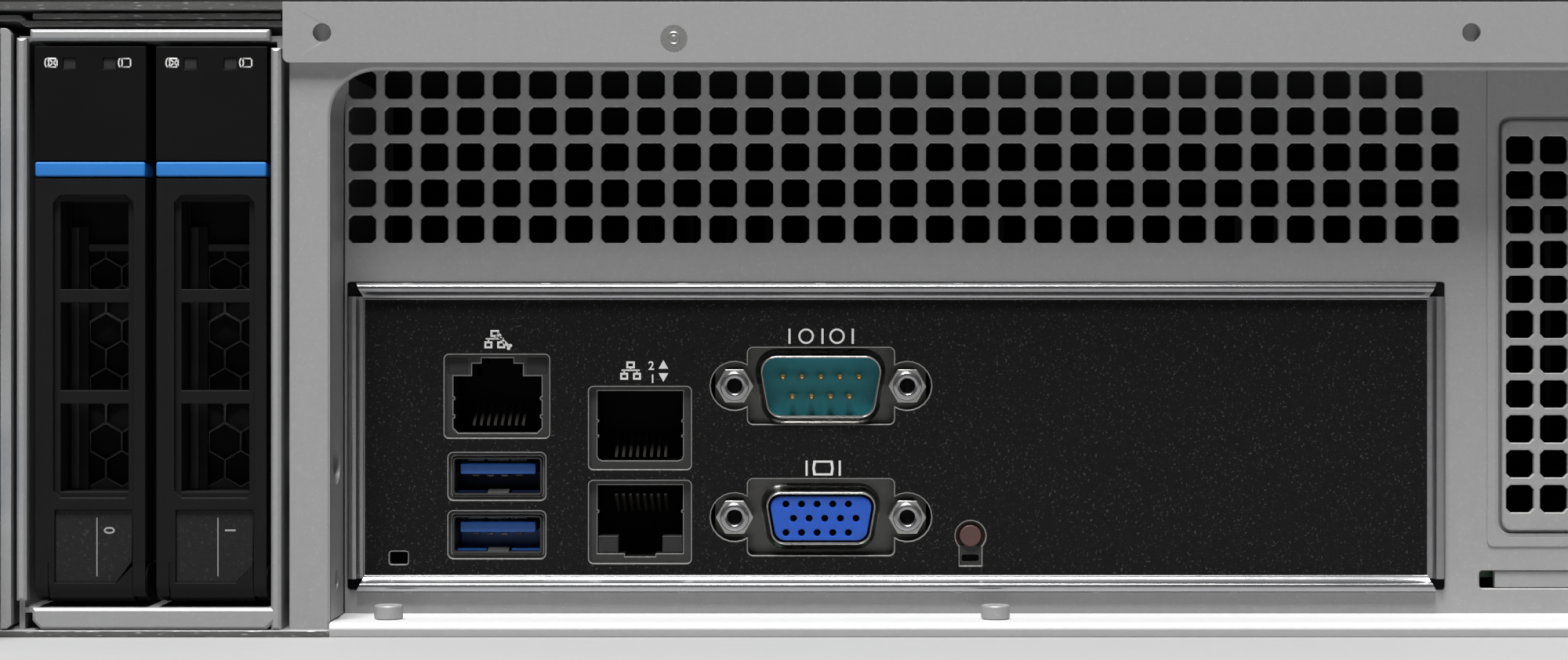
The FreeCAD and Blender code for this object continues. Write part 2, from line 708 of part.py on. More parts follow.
def network_jacks():
    """The jack stacked over two USB ports, and the pair of network jacks."""
    seam = "usb_high + usb_height / 2"
    named(group("stack_jack_whole", usb_walls("board_top", seam)
                + jack_walls("stack_jack", "stack_x", "jack_high - 0.6", 1, seam, "jack_high + 6.8")),
          "lan_usb_jack")
    split = "(lan_low + lan_high) / 2"
    named(group("lan_pair_whole", jack_walls("lan_lower", "lan_x", "lan_low + 0.6", -1, "board_top", split)
                + jack_walls("lan_upper", "lan_x", "lan_high - 0.6", 1, split, "lan_high + 6.8")),
          "dual_lan_jack")


def shell_outline(z, grow):
    """The five-sided outline of a nine or fifteen way port, wider at the top."""
    wide, narrow = f"(shell_width / 2 + {grow})", f"(shell_width / 2 - 1.1 + {grow})"
    rise = f"(shell_height / 2 + {grow})"
    return [(f"port_x - {narrow} + 1", f"{z} - {rise}"), (f"port_x + {narrow} - 1", f"{z} - {rise}"),
            (f"port_x + {narrow}", f"{z} - {rise} + 1"), (f"port_x + {wide}", f"{z} + {rise} - 1"),
            (f"port_x + {wide} - 1", f"{z} + {rise}"), (f"port_x - {wide} + 1", f"{z} + {rise}"),
            (f"port_x - {wide}", f"{z} + {rise} - 1"), (f"port_x - {narrow}", f"{z} - {rise} + 1")]


def d_port(label, z, low, high, filled):
    """A port with a wedge-shaped metal shell, its flange and the housing behind it."""
    body = new_body(label)
    pad(body, sketch(body, f"{label}_housing", "rear", "flange_y",
                     [rect("port_x - 15.4", "port_x + 15.4", low, high)]), "14", back=True)
    pad(body, sketch(body, f"{label}_shell", "rear", "flange_y",
                     [shell_outline(z, "0"), shell_outline(z, "-0.5")]), "flange_y - panel_y + 0.6")
    pad(body, sketch(body, f"{label}_insert", "rear", "flange_y", [shell_outline(z, "-0.5")]), filled)
    posts = [chamfered(f"(port_x + {side} * screw_spacing / 2)", z, "(post_bore / 2 + 0.1)",
                       "(post_bore / 2 + 0.1)", "0.7") for side in (-1, 1)]
    bores = body.newObject("PartDesign::Pocket", f"{label}_bores")
    bores.Profile = sketch(body, f"{label}_bore_sketch", "rear", "flange_y", posts)
    bores.setExpression("Length", bound("8"))


def jackscrews():
    """The four hex posts beside the ports, each with a threaded hole and a stud behind."""
    posts = []
    for number, (side, level) in enumerate([(side, level) for level in ("serial_z", "vga_z")
                                            for side in (-1, 1)]):
        x = f"port_x + {side} * screw_spacing / 2"
        prism = doc.addObject("Part::Prism", f"post_{number}")
        prism.Polygon = 6
        prism.Placement = FreeCAD.Placement(Vector(), TURNS["y"])
        prism.setExpression("Circumradius", bound("post_hex / 2 / cos(30)"))
        prism.setExpression("Height", bound("flange_y - panel_y - 0.05"))
        prism.setExpression("Placement.Base.x", bound(x))
        prism.setExpression("Placement.Base.y", bound("panel_y"))
        prism.setExpression("Placement.Base.z", bound(level))
        stud = bar(f"post_stud_{number}", x, "flange_y - 1", level, "post_bore / 2 - 0.1", "8", sides=8)
        bore = bar(f"post_bore_{number}", x, "panel_y - 1", level, "post_bore / 2", "4.6")
        posts.append(cut(f"post_cut_{number}", fuse(f"post_whole_{number}", [prism, stud]), [bore]))
    named(fuse("jackscrew_set", posts), "jackscrews")


def uid_button():
    """The round locator button behind its hole in the shield."""
    cap = bar("uid_cap", "uid_x", "shield_face + 0.2", "uid_z", "uid_width / 2", "5.5", sides=20)
    collar = bar("uid_collar", "uid_x", "shield_back + 0.5", "uid_z", "uid_width / 2 + 0.9", "1", sides=20)
    named(fuse("uid_button_whole", [cap, collar]), "uid_button")


# ---------------------------------------------------------------------------------------------
# The board and what stands on it.


def motherboard():
    """The board on its standoffs, with the small parts that stay on it."""
    board = box("board_sheet", ("board_left", "board_left + board_width"), ("board_rear", "board_front"),
                ("board_low", "board_top"))
    standoffs = [bar(f"standoff_{number}", x, y, "sheet_gauge", "3", "standoff + 0.01", "z", sides=6)
                 for number, (x, y) in enumerate([(f"board_left + 8 + {column} * (board_width - 16) / 2",
                                                   f"board_rear + 12 + {row} * (board_length - 24) / 2")
                                                  for column in range(3) for row in range(3)])]
    switch = box("uid_switch", ("uid_x - 4", "uid_x + 4"), ("shield_face + 7.4", "shield_face + 13"),
                 ("board_top - 0.01", "uid_z + 3"))
    chips = [box(f"board_chip_{number}", (f"{x} - 14", f"{x} + 14"), (f"{y} - 14", f"{y} + 14"),
                 ("board_top - 0.01", "board_top + 3"))
             for number, (x, y) in enumerate((("20", "board_rear + 60"), ("-30", "board_rear + 75")))]
    named(fuse("motherboard_whole", [board, switch] + standoffs + chips), "motherboard")


def cpu_heatsinks():
    """Two finned heatsinks on their sockets."""
    sinks = []
    for number, x in enumerate(("-18", "112")):
        base = box(f"sink_base_{number}", (f"{x} - 40", f"{x} + 40"), ("-95", "-5"),
                   ("board_top + 0.02", "board_top + 9"))
        fins = [box(f"sink_fin_{number}_{step}", (f"{x} - 40 + {step} * 8.6", f"{x} - 38.6 + {step} * 8.6"),
                    ("-95", "-5"), ("board_top + 8.9", "board_top + 60"))
                for step in range(10)]
        sinks.append(fuse(f"sink_{number}", [base] + fins))
    named(fuse("sink_pair", sinks), "cpu_heatsinks")


def memory_modules():
    """The memory modules that stand in rows beside the heatsinks."""
    rows = []
    for bank, first in enumerate(("32", "162")):
        for step in range(4):
            x = f"{first} + {step} * 9.4"
            rows.append(box(f"memory_{bank}_{step}", (f"{x} - 0.7", f"{x} + 0.7"), ("-120", "13"),
                            ("board_top + 7", "board_top + 34")))
            rows.append(box(f"memory_slot_{bank}_{step}", (f"{x} - 3.2", f"{x} + 3.2"), ("-124", "16"),
                            ("board_top + 0.02", "board_top + 7.01")))
    named(fuse("memory_rows", rows), "memory_modules")


def expansion_sockets():
    """The card sockets in line with the seven slots."""
    sockets = [box(f"socket_{number}", (f"slot_first - 3.4 + {number} * slot_pitch",
                                        f"slot_first + 3.4 + {number} * slot_pitch"),
                   ("board_rear + 44", "board_rear + 133"), ("board_top + 0.02", "board_top + 11.2"))
               for number in range(int(now("slot_count")))]
    named(fuse("socket_row", sockets), "expansion_sockets")


def air_shroud():
    """The plastic shroud that leads the fans' air over the heatsinks and memory."""
    outer = box("shroud_outer", ("-64", "206"), ("-126", "fan_front - 2"), ("board_top + 63", "board_top + 65.5"))
    walls = [box(f"shroud_wall_{number}", pair, ("-126", "fan_front - 2"), ("board_top + 0.1", "board_top + 63.1"))
             for number, pair in enumerate((("-64", "-61.5"), ("203.5", "206")))]
    named(fuse("air_shroud_whole", [outer] + walls), "air_shroud")


# ---------------------------------------------------------------------------------------------
# The fans.


def fan_wall():
    """The wall of four fan housings, each with a round throat and a hub held on four struts."""
    frames = []
    for number in range(int(now("fan_count"))):
        x = f"fan_left + {number} * fan_pitch"
        frame = box(f"fan_frame_{number}", (f"{x} - fan_size / 2", f"{x} + fan_size / 2"),
                    ("fan_front", "fan_back"), ("fan_low", "fan_low + fan_size"))
        throat = bar(f"fan_throat_{number}", x, "fan_front - 1", "fan_mid_z", "fan_bore / 2", "fan_depth + 2",
                     sides=24)
        ring = cut(f"fan_ring_{number}", frame, [throat])
        struts = [box(f"fan_strut_{number}_0", (f"{x} - fan_bore / 2 - 0.5", f"{x} + fan_bore / 2 + 0.5"),
                      ("fan_front", "fan_front + 3"), ("fan_mid_z - 2", "fan_mid_z + 2")),
                  box(f"fan_strut_{number}_1", (f"{x} - 2", f"{x} + 2"), ("fan_front", "fan_front + 3"),
                      ("fan_mid_z - fan_bore / 2 - 0.5", "fan_mid_z + fan_bore / 2 + 0.5")),
                  bar(f"fan_motor_{number}", x, "fan_front", "fan_mid_z", "hub_width / 2 - 4", "4", sides=16)]
        frames.append(fuse(f"fan_housing_{number}", [ring] + struts))
    sill = box("fan_sill", ("-wall_in + gap", "wall_in - gap"), ("fan_front", "fan_back"),
               ("sheet_gauge", "fan_low + 0.1"))
    fins = [box(f"fan_web_{number}", (f"fan_left + ({number} - 0.5) * fan_pitch - 11.6",
                                      f"fan_left + ({number} - 0.5) * fan_pitch + 11.6"),
                ("fan_front + 4", "fan_front + 5.2"), ("fan_low", "fan_low + fan_size"))
            for number in range(1, int(now("fan_count")))]
    webs = [box(f"fan_end_{number}", pair, ("fan_front + 4", "fan_front + 5.2"), ("fan_low", "fan_low + fan_size"))
            for number, pair in enumerate((("-wall_in + gap", "fan_left - fan_size / 2 + 0.4"),
                                           ("-fan_left + fan_size / 2 - 0.4", "wall_in - gap")))]
    named(fuse("fan_wall_whole", frames + [sill] + fins + webs), "fan_wall")


def fan_rotors():
    """Four rotors: a cup and seven slanted blades round it."""
    for number in range(int(now("fan_count"))):
        mark = f"rotor_{number + 1}"
        body = new_body(f"fan_rotor_{number + 1}")
        body.setExpression("Placement.Base.x", bound(f"fan_left + {number} * fan_pitch"))
        body.setExpression("Placement.Base.y", bound("fan_front + 4.6"))
        body.setExpression("Placement.Base.z", bound("fan_mid_z"))
        pad(body, sketch(body, f"{mark}_hub", "rear", "0", [many_sided("0", "0", "hub_width / 2")]),
            "fan_depth - 8", back=True)
        chord = [("-blade_spread", "3"), ("-blade_spread + 1.6", "3"), ("blade_spread", "fan_depth - 11"),
                 ("blade_spread - 1.6", "fan_depth - 11")]
        blade = pad(body, sketch(body, f"{mark}_blade", "top", "hub_width / 2 - 1.5", [chord]),
                    "(fan_bore - hub_width) / 2 - 2")
        ring = body.newObject("PartDesign::PolarPattern", f"{mark}_ring")
        ring.Originals = [blade]
        ring.Axis = (next(part for part in body.Origin.OriginFeatures if part.Role == "Y_Axis"), [""])
        ring.Angle = 360
        ring.setExpression("Occurrences", bound("blade_count"))
        body.Tip = ring


# ---------------------------------------------------------------------------------------------
# The rear drive cage and its two trays.


def rear_drive_cage():
    """The sheet cage of the two rear drives, with a rolled lead-in flange round its mouth."""
    body = new_body("rear_drive_cage")
    outline = [("bay_wall_left", "sheet_gauge"), ("bay_left", "sheet_gauge"), ("bay_left", "bay_low - thin_gauge"),
               ("bay_right", "bay_low - thin_gauge"), ("bay_right", "sheet_gauge"),
               ("bay_wall_right", "sheet_gauge"), ("bay_wall_right", "bay_high + thin_gauge"),
               ("bay_wall_left", "bay_high + thin_gauge")]
    inner = rect("bay_left", "bay_right", "bay_low", "bay_high")
    pad(body, sketch(body, "bay_shell", "rear", "rear_y + 2", [outline, inner]), "bay_depth - 2", back=True)
    low = "sheet_gauge + 0.1"
    sill = [("bay_left + 2.6", low), ("bay_right - 1.2", low), ("bay_right", f"{low} + 1.2"), ("bay_right", "bay_low"),
            ("bay_left + 1.4", "bay_low"), ("bay_left + 1.4", f"{low} + 1.2")]
    rolls = {"sill": sill,
             "roll_left": rect("bay_wall_left", "bay_left + 0.6", "bay_low + 1", "bay_high + 0.4"),
             "roll_right": rect("bay_right - 0.6", "bay_wall_right", "sheet_gauge", "bay_high - 1"),
             "roll_top": rect("bay_left + 1.1", "bay_right - 0.8", "bay_high", "bay_high + roll_proud")}
    for word, outline in rolls.items():
        last = pad(body, sketch(body, f"bay_{word}", "rear", "rear_y + 0.2", [outline]), "1.9", back=True)
    doc.recompute()
    front = now("rear_y") + 0.2
    rounded = body.newObject("PartDesign::Chamfer", "bay_mouth")
    rounded.Base = (last, edges_of(last, lambda a, b: abs(a.y - front) < 1e-6 and abs(b.y - front) < 1e-6))
    rounded.setExpression("Size", bound("thin_gauge / 2"))


def rear_tray(number):
    """A drive tray: the head with its two lamps, the back plate, rails and the handle's pin."""
    x = f"(tray_first + {number} * tray_pitch)"
    left, right = f"{x} - tray_width / 2", f"{x} + tray_width / 2"
    head = box(f"head_{number}", (left, right), ("tray_y", "tray_y + 9"), ("head_low", "tray_top"))
    back = box(f"tray_plate_{number}", (left, right), ("tray_y + 7", "tray_y + 9"), ("tray_low", "head_low + 1"))
    rails = [box(f"tray_rail_{number}_{step}", (f"{x} - 6", f"{x} + 6"), ("tray_y + 8", "tray_back"), levels)
             for step, levels in enumerate((("tray_low", "drive_low - seat_gap"),
                                            ("drive_low + drive_wide + seat_gap", "tray_top - 0.2")))]
    cheeks = [box(f"tray_cheek_{number}_{step}", pair, ("pivot_y", "tray_y + 8"),
                  ("tray_low + 0.5", "pivot_z + 2.6"))
              for step, pair in enumerate(((left, f"{left} + 1.6"), (f"{right} - 1.6", right)))]
    cheeks += [bar(f"tray_eye_{number}_{step}", start, "pivot_y", "pivot_z", "2.6", "1.6", "x", sides=16)
               for step, start in enumerate((left, f"{right} - 1.6"))]
    pin = bar(f"tray_pin_{number}", left, "pivot_y", "pivot_z", "0.9", "tray_width", "x")
    vent = [box(f"tray_vent_{number}", (f"{x} + window_shift - window_half", f"{x} + window_shift + window_half"),
                ("tray_y + 6", "tray_y + 10"), ("window_low", "window_high"))]
    lamps = [box(f"tray_lamp_{number}_{step}", (f"{x} + {start}", f"{x} + {start} + 1.8"),
                 ("tray_y - 1", "tray_y + 0.6"), ("tray_top - 3.2", "tray_top - 1.6"))
             for step, start in enumerate(("-3.85", "1.75"))]
    named(cut(f"rear_tray_cut_{number}",
              fuse(f"rear_tray_whole_{number}", [head, back, pin] + rails + cheeks), vent + lamps),
          f"rear_tray_{number}")


def rear_handle(number):
    """The tray's handle: a tall frame with two cross bars, a sunk label field and a knuckle."""
    body = new_body(f"rear_handle_{number}")
    x = f"(tray_first + {number} * tray_pitch)"
    middle = f"({x} + window_shift)"
    mark = f"handle_{number}"
    half = "(tray_width / 2 - 0.1)"
    frame = rect(f"{x} - {half}", f"{x} + {half}", "pivot_z + 3", "handle_top")
    pad(body, sketch(body, f"{mark}_frame", "rear", "tray_y", [frame]), "handle_depth", back=True)
    knuckle = [("tray_y", "pivot_z + 3.5"), ("tray_y", "pivot_z"), ("tray_y + 0.8", "pivot_z - 2"),
               ("pivot_y - 0.6", "pivot_z - 2.7"), ("pivot_y + 0.8", "pivot_z - 2.5"),
               ("pivot_y + 2", "pivot_z - 1.2"), ("pivot_y + 2", "pivot_z + 3.5")]
    pad(body, sketch(body, f"{mark}_knuckle", "side", f"{x} - {half} + 1.8", [knuckle]), f"2 * {half} - 3.6")
    window = chamfered(middle, "(window_low + window_high) / 2", "(window_half + window_bevel)",
                       "((window_high - window_low) / 2 + window_bevel)", "1")
    shallow = body.newObject("PartDesign::Pocket", f"{mark}_bevel")
    shallow.Profile = sketch(body, f"{mark}_bevel_sketch", "rear", "tray_y", [window])
    shallow.setExpression("Length", bound("0.8"))
    third = "((window_high - window_low - 2 * window_bar) / 3)"
    opening = [rect(f"{middle} - window_half", f"{middle} + window_half",
                    f"window_low + {step} * ({third} + window_bar)",
                    f"window_low + {step} * ({third} + window_bar) + {third}") for step in range(3)]
    pad_cut(body, f"{mark}_opening", "rear", "tray_y", opening, "handle_depth * 4")
    left, right, low, high = f"{middle} - 5.4", f"{middle} + 5.4", "handle_low + 3.2", "handle_low + 13.4"
    label = [(left, low), (f"{right} - 2.3", low), (right, f"{low} + 2.4"), (right, high), (left, high)]
    field = body.newObject("PartDesign::Pocket", f"{mark}_field")
    field.Profile = sketch(body, f"{mark}_label", "rear", "tray_y", [label])
    field.setExpression("Length", bound("0.5"))
    pad_cut(body, f"{mark}_bore", "side", x, [chamfered("pivot_y", "pivot_z", "1.12", "1.12", "0.65")],
            "tray_width * 2")


def rear_bay():
    """What fills the rear cage: trays, handles, releases and drives."""
    for number in range(2):
        rear_tray(number)
        rear_handle(number)
        x = f"(tray_first + {number} * tray_pitch)"
        strip = box(f"release_strip_{number}", (f"{x} - tray_width / 2 + 0.1", f"{x} + tray_width / 2 - 0.1"),
                    ("tray_y - 0.2", "tray_y + 5.5"), ("release_low", "release_top"))
        named(strip, f"rear_release_{number}")
        drive = box(f"small_drive_{number}", (f"{x} - drive_thick / 2", f"{x} + drive_thick / 2"),
                    ("drive_y", "drive_y + drive_long"), ("drive_low", "drive_low + drive_wide"))
        named(drive, f"rear_drive_{number}")


# ---------------------------------------------------------------------------------------------
# The power supplies.


def psu_cage():
    """The cage of the two power supplies: floor, walls, shelf and roof, open at the rear."""
    body = new_body("psu_cage")
    left, right = "supply_left - gap", "supply_right + gap"
    outer_left, outer_right = f"{left} - thin_gauge", f"{right} + thin_gauge"
    low, high = "sheet_gauge", "cage_top + thin_gauge"
    outer = [(outer_left, low), (f"{outer_right} - 0.6", low), (outer_right, f"{low} + 0.6"),
             (outer_right, f"{high} - 0.6"), (f"{outer_right} - 0.6", high), (outer_left, high)]
    rooms = [rect(left, right, "supply_low - gap", "supply_shelf"),
             rect(left, right, "supply_shelf + thin_gauge", "cage_top")]
    pad(body, sketch(body, "psu_cage_profile", "rear", "rear_y + 1.5", [outer] + rooms),
        "supply_length + 3", back=True)
    hem = [(right, f"{low} + 0.2"), (f"{outer_right} + 0.1", f"{low} + 0.2"), (f"{outer_right} + 0.7", f"{low} + 0.8"),
           (f"{outer_right} + 0.7", f"{high} - 1"), (f"{outer_right} + 0.1", f"{high} - 0.2"), (right, f"{high} - 0.2")]
    pad(body, sketch(body, "psu_cage_hem", "rear", "rear_y + 0.2", [hem]), "1.5", back=True)


def psu(number):
    """A power supply: a box with its inlet, fan throat, handle and latch slot."""
    z = f"(supply_low + {number} * supply_step)"
    mark = f"psu_{number + 1}"
    case = box(f"{mark}_case", ("supply_left", "supply_right"), ("rear_y", "supply_back"),
               (z, f"{z} + supply_height"))
    inlet = box(f"{mark}_inlet", ("supply_left + 6", "supply_left + 30"), ("rear_y - 1", "rear_y + 16"),
                (f"{z} + 10", f"{z} + 26"))
    pins = [box(f"{mark}_pin_{step}", (f"supply_left + {11 + 6 * step}", f"supply_left + {13 + 6 * step}"),
                ("rear_y + 3", "rear_y + 16.1"), (f"{z} + {low}", f"{z} + {low + 4}"))
            for step, low in enumerate((14, 18, 14))]
    throat = bar(f"{mark}_throat", "supply_left + 50", "rear_y - 1", f"{z} + supply_height / 2", "16.5", "9",
                 sides=24)
    slot = box(f"{mark}_slot", ("supply_right - 4.4", "supply_right + 1"), ("rear_y - 1", "rear_y + 26"),
               (f"{z} + 14", f"{z} + 26"))
    hub = bar(f"{mark}_hub", "supply_left + 50", "rear_y + 2", f"{z} + supply_height / 2", "9", "7", sides=20)
    grip = box(f"{mark}_grip", ("supply_left + 33", "supply_left + 37"), ("rear_y - supply_handle", "rear_y + 0.2"),
               (f"{z} + 4", f"{z} + supply_height - 4"))
    grip_room = box(f"{mark}_grip_room", ("supply_left + 32", "supply_left + 38"),
                    ("rear_y - supply_handle + 4", "rear_y"), (f"{z} + 8", f"{z} + supply_height - 8"))
    hollow = cut(f"{mark}_hollow", case, [inlet, throat, slot])
    handle = cut(f"{mark}_handle", grip, [grip_room])
    named(fuse(f"{mark}_whole", [hollow, handle, hub] + pins), mark)
    lever = box(f"{mark}_lever", ("supply_right - 2.8", "supply_right - 1"), ("rear_y - 10", "rear_y + 25.5"),
                (f"{z} + 14.4", f"{z} + 25.6"))
    named(lever, f"{mark}_latch")


# ---------------------------------------------------------------------------------------------
# The front.


def front_drive_cage():
    """The front cage: a floor, uprights, shelves, a roof and the vented strip above the trays."""
    columns, rows = int(now("front_columns")), int(now("front_rows"))
    depth = ("front_cage_rear", "front_plane")
    half = "(front_tray_width / 2 + gap)"
    roof_low = "front_low + front_pitch_z * (front_rows - 1) + front_tray_height + gap"
    ends = ("-wall_in + seat_gap", "wall_in - seat_gap")
    plates = [box("front_floor", ends, depth, ("sheet_gauge", "front_low - gap")),
              box("front_roof", ends, depth, (roof_low, "front_cage_top"))]
    for number in range(columns + 1):
        left = ends[0] if number == 0 else f"front_left + {number - 1} * front_pitch_x + {half}"
        right = ends[1] if number == columns else f"front_left + {number} * front_pitch_x - {half}"
        plates.append(box(f"front_upright_{number}", (left, right), depth, ("front_low - gap", roof_low)))
    for column in range(columns):
        x = f"(front_left + {column} * front_pitch_x)"
        for row in range(1, rows):
            z = f"(front_low + {row} * front_pitch_z)"
            plates.append(box(f"front_shelf_{column}_{row}", (f"{x} - {half}", f"{x} + {half}"), depth,
                              (f"{z} - front_pitch_z + front_tray_height + gap", f"{z} - gap")))
    strip = box("front_strip", ends, ("front_plane - 1.2", "front_plane"), ("front_cage_top", "inner_top - gap"))
    slots = [box(f"front_vent_{number}", (f"-wall_in + 14 + {number} * 20", f"-wall_in + 29 + {number} * 20"),
                 ("front_plane - 3", "front_plane + 1"), ("front_cage_top + 5", "inner_top - 6"))
             for number in range(20)]
    named(group("front_cage_set", plates + [cut("front_strip_cut", strip, slots)]), "front_drive_cage")


def front_trays():
    """Eight trays, each with a perforated face and a handle hinged at its right end."""
    number = 0
    for row in range(int(now("front_rows"))):
        for column in range(int(now("front_columns"))):
            number += 1
            x = f"(front_left + {column} * front_pitch_x)"
            z = f"(front_low + {row} * front_pitch_z)"
            left, right = f"{x} - front_tray_width / 2", f"{x} + front_tray_width / 2"
            top = f"{z} + front_tray_height"
            face = box(f"front_face_{number}", (left, right), ("front_plane - 6", "front_plane - 4"), (z, top))
            rails = [box(f"front_rail_{number}_{step}", pair, ("front_plane - front_tray_depth", "front_plane - 4"),
                         (z, f"{z} + 20")) for step, pair in enumerate(((left, f"{left} + 1.4"),
                                                                      (f"{right} - 1.4", right)))]
            disk = box(f"front_disk_{number}", (f"{left} + 1.4", f"{right} - 1.4"),
                       ("front_plane - 160", "front_plane - 12"), (f"{z} + 0.4", f"{z} + 25.6"))
            end = box(f"front_end_{number}", (left, f"{left} + 12"), ("front_plane - 6", "front_y - 1"), (z, top))
            lugs = [box(f"front_lug_{number}_{step}", (f"{right} - 5.5", right),
                        ("front_plane - 6", "front_y - 1"), levels)
                    for step, levels in enumerate(((z, f"{z} + 3"), (f"{top} - 3", top)))]
            pin = bar(f"front_pin_{number}", f"{right} - 2.8", "front_plane + 0.2", z, "1", "front_tray_height", "z")
            named(fuse(f"front_tray_whole_{number}", [face, end, disk, pin] + rails + lugs), f"front_tray_{number}")
            grip = box(f"front_grip_{number}", (f"{left} + 12.4", f"{right} - 1.6"),
                       ("front_plane - 2", "front_y - 1"), (f"{z} + 3.3", f"{top} - 3.3"))
            back = box(f"front_grip_back_{number}", (f"{right} - 5", f"{right} + 1"),
                       ("front_plane - 3", "front_plane - 1.2"), (z, top))
            bore = bar(f"front_bore_{number}", f"{right} - 2.8", "front_plane + 0.2", z, "1.25",
                       "front_tray_height", "z")
            room = box(f"front_grip_room_{number}", (f"{left} + 18", f"{right} - 12"),
                       ("front_plane - 3", "front_y"), (f"{z} + 7", f"{top} - 7"))
            named(cut(f"front_handle_cut_{number}", grip, [bore, room, back]), f"front_handle_{number}")


def rack_ear(label, side):
    """A rack ear: the slotted flange at the front and the strap along the chassis wall."""
    inner = "half_width + gap"

    def span(low, high):
        pair = (f"{side} * ({low})", f"{side} * ({high})")
        return pair if side > 0 else pair[::-1]

    body = new_body(label)
    low, high = span(inner, "ear_right")
    pad(body, sketch(body, f"{label}_flange", "rear", "front_plane",
                     [chamfered(f"({low} + {high}) / 2", "body_height / 2", "(ear_right - half_width - gap) / 2",
                                "body_height / 2 - 0.2", "1.5")]), "ear_gauge", back=True)
    low, high = span("wall_out + seat_gap * 2 + sheet_gauge + gap", "wall_out + seat_gap * 2 + sheet_gauge + gap + ear_gauge")
    pad(body, sketch(body, f"{label}_strap", "rear", "front_plane - 60",
                     [rect(low, high, "4", "body_height - cover_flange - 3")]), "60 + ear_gauge / 2", back=True)
    reach = "((ear_slot_length - ear_slot_height) / 2)"
    levels = [f"body_height / 2 + {sign} * ear_slot_spacing / 2" for sign in (-1, 1)]
    pad_cut(body, f"{label}_slots", "rear", "front_plane",
            [rect(f"{side} * ear_pattern / 2 - {reach}", f"{side} * ear_pattern / 2 + {reach}",
                  f"{level} - ear_slot_height / 2", f"{level} + ear_slot_height / 2") for level in levels],
            "ear_gauge * 6")
    for number, sign in enumerate((-1, 1)):
        pad_cut(body, f"{label}_slot_ends_{number}", "rear", "front_plane", [], "ear_gauge * 6",
                [(f"{side} * ear_pattern / 2 + {sign} * {reach}", level, "ear_slot_height / 2") for level in levels])
    pad(body, sketch(body, f"{label}_grip", "rear", "front_plane + ear_gauge",
                     [rect(*span("ear_right - 9", "ear_right - 5"), "20", "24"),
                      rect(*span("ear_right - 9", "ear_right - 5"), "64", "68")]), "ear_handle_reach", back=True)
    pad(body, sketch(body, f"{label}_grip_bar", "rear", "front_plane + ear_gauge + ear_handle_reach - 4",
                     [rect(*span("ear_right - 9", "ear_right - 5"), "20", "68")]), "4", back=True)
    if side > 0:
        pad_cut(body, f"{label}_button_hole", "rear", "front_plane", [], "ear_gauge * 6",
                [("half_width + 8.5", "60", "power_width / 2 + 0.3")])


def power_button():
    """The power button in the right ear."""
    cap = bar("power_cap", "half_width + 8.5", "front_plane - 1.5", "60", "power_width / 2", "ear_gauge + 2.5",
              sides=24)
    collar = bar("power_collar", "half_width + 8.5", "front_plane - 2.5", "60", "power_width / 2 + 0.8", "1.2",
                 sides=24)
    named(fuse("power_whole", [cap, collar]), "power_button")


# ---------------------------------------------------------------------------------------------
# Backplanes and fasteners.


def backplanes():
    """The boards behind the front bays, the rear bays and the power supplies."""
    front = box("front_backplane", ("-wall_in + 3", "wall_in - 3"), ("front_cage_rear - 2.2", "front_cage_rear - 0.1"),
                ("sheet_gauge", "front_cage_top"))
    rear = box("rear_backplane", ("bay_left", "bay_right"), ("bay_back + 0.1", "bay_back + 1.7"),
               ("sheet_gauge", "bay_high"))
    supply = box("supply_backplane", ("supply_left", "supply_right"), ("supply_back + 5", "supply_back + 6.6"),
                 ("sheet_gauge", "cage_top"))
    named(group("backplane_set", [front, rear, supply]), "backplanes")


def fasteners():
    """Cover screws in the walls and the two studs in the ledge."""
    studs = [bar(f"ledge_stud_{number}", x, "rear_y + 6", "ledge_top + 0.02", "2.05", "2", "z", sides=20)
             for number, x in enumerate(("-84.1", "2.0"))]
    screws = []
    for number, (sign, y) in enumerate([(sign, y) for sign in (-1, 1) for y in ("rear_y + 60", "0", "front_y - 100")]):
        start = "half_width + 0.02" if sign > 0 else "-half_width - 1.62"
        screws.append(bar(f"wall_screw_{number}", start, y, "body_height - 6", "2.8", "1.6", "x"))
    named(group("fastener_set", studs + screws), "fasteners")


# ---------------------------------------------------------------------------------------------
# The whole assembly.

chassis_base()
slot_covers()
rear_panel()
rear_frame()
rear_brace()
io_shield()
rear_cover()
front_cover()
network_jacks()
d_port("serial_port", "serial_z", "port_split + seat_gap", "serial_z + 6.3", "3.2")
d_port("vga_port", "vga_z", "board_top", "port_split", "5.2")
jackscrews()
uid_button()
motherboard()
cpu_heatsinks()
memory_modules()
expansion_sockets()
air_shroud()
fan_wall()
fan_rotors()
rear_drive_cage()
rear_bay()
psu_cage()
for place in range(2):
    psu(place)
front_drive_cage()
front_trays()
rack_ear("rack_ear_left", -1)
rack_ear("rack_ear_right", 1)
power_button()
backplanes()
fasteners()
doc.recompute()

for item in doc.Objects:
    if any(word in item.State for word in ("Invalid", "Error")):
        raise RuntimeError(f"{item.Label} did not build: {item.State}")
for node in nodes:
    if node.Shape.isNull() or not node.Shape.isValid() or not node.Shape.Solids:
        raise RuntimeError(f"{node.Label} has no sound solid")

os.makedirs("parts", exist_ok=True)
for node in nodes:
    node.Shape.exportStep(f"parts/{node.Label}.step")
print(f"{len(nodes)} nodes, {sum(len(node.Shape.Solids) for node in nodes)} solids")
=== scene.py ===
"""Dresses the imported 2u rack server: its sheet metal, ports, drive trays, prints and studio light."""

import logging
import math
from dataclasses import dataclass, field
from enum import Enum
from typing import Callable, Iterable, Sequence

import bmesh
import bpy
from mathutils import Matrix, Vector

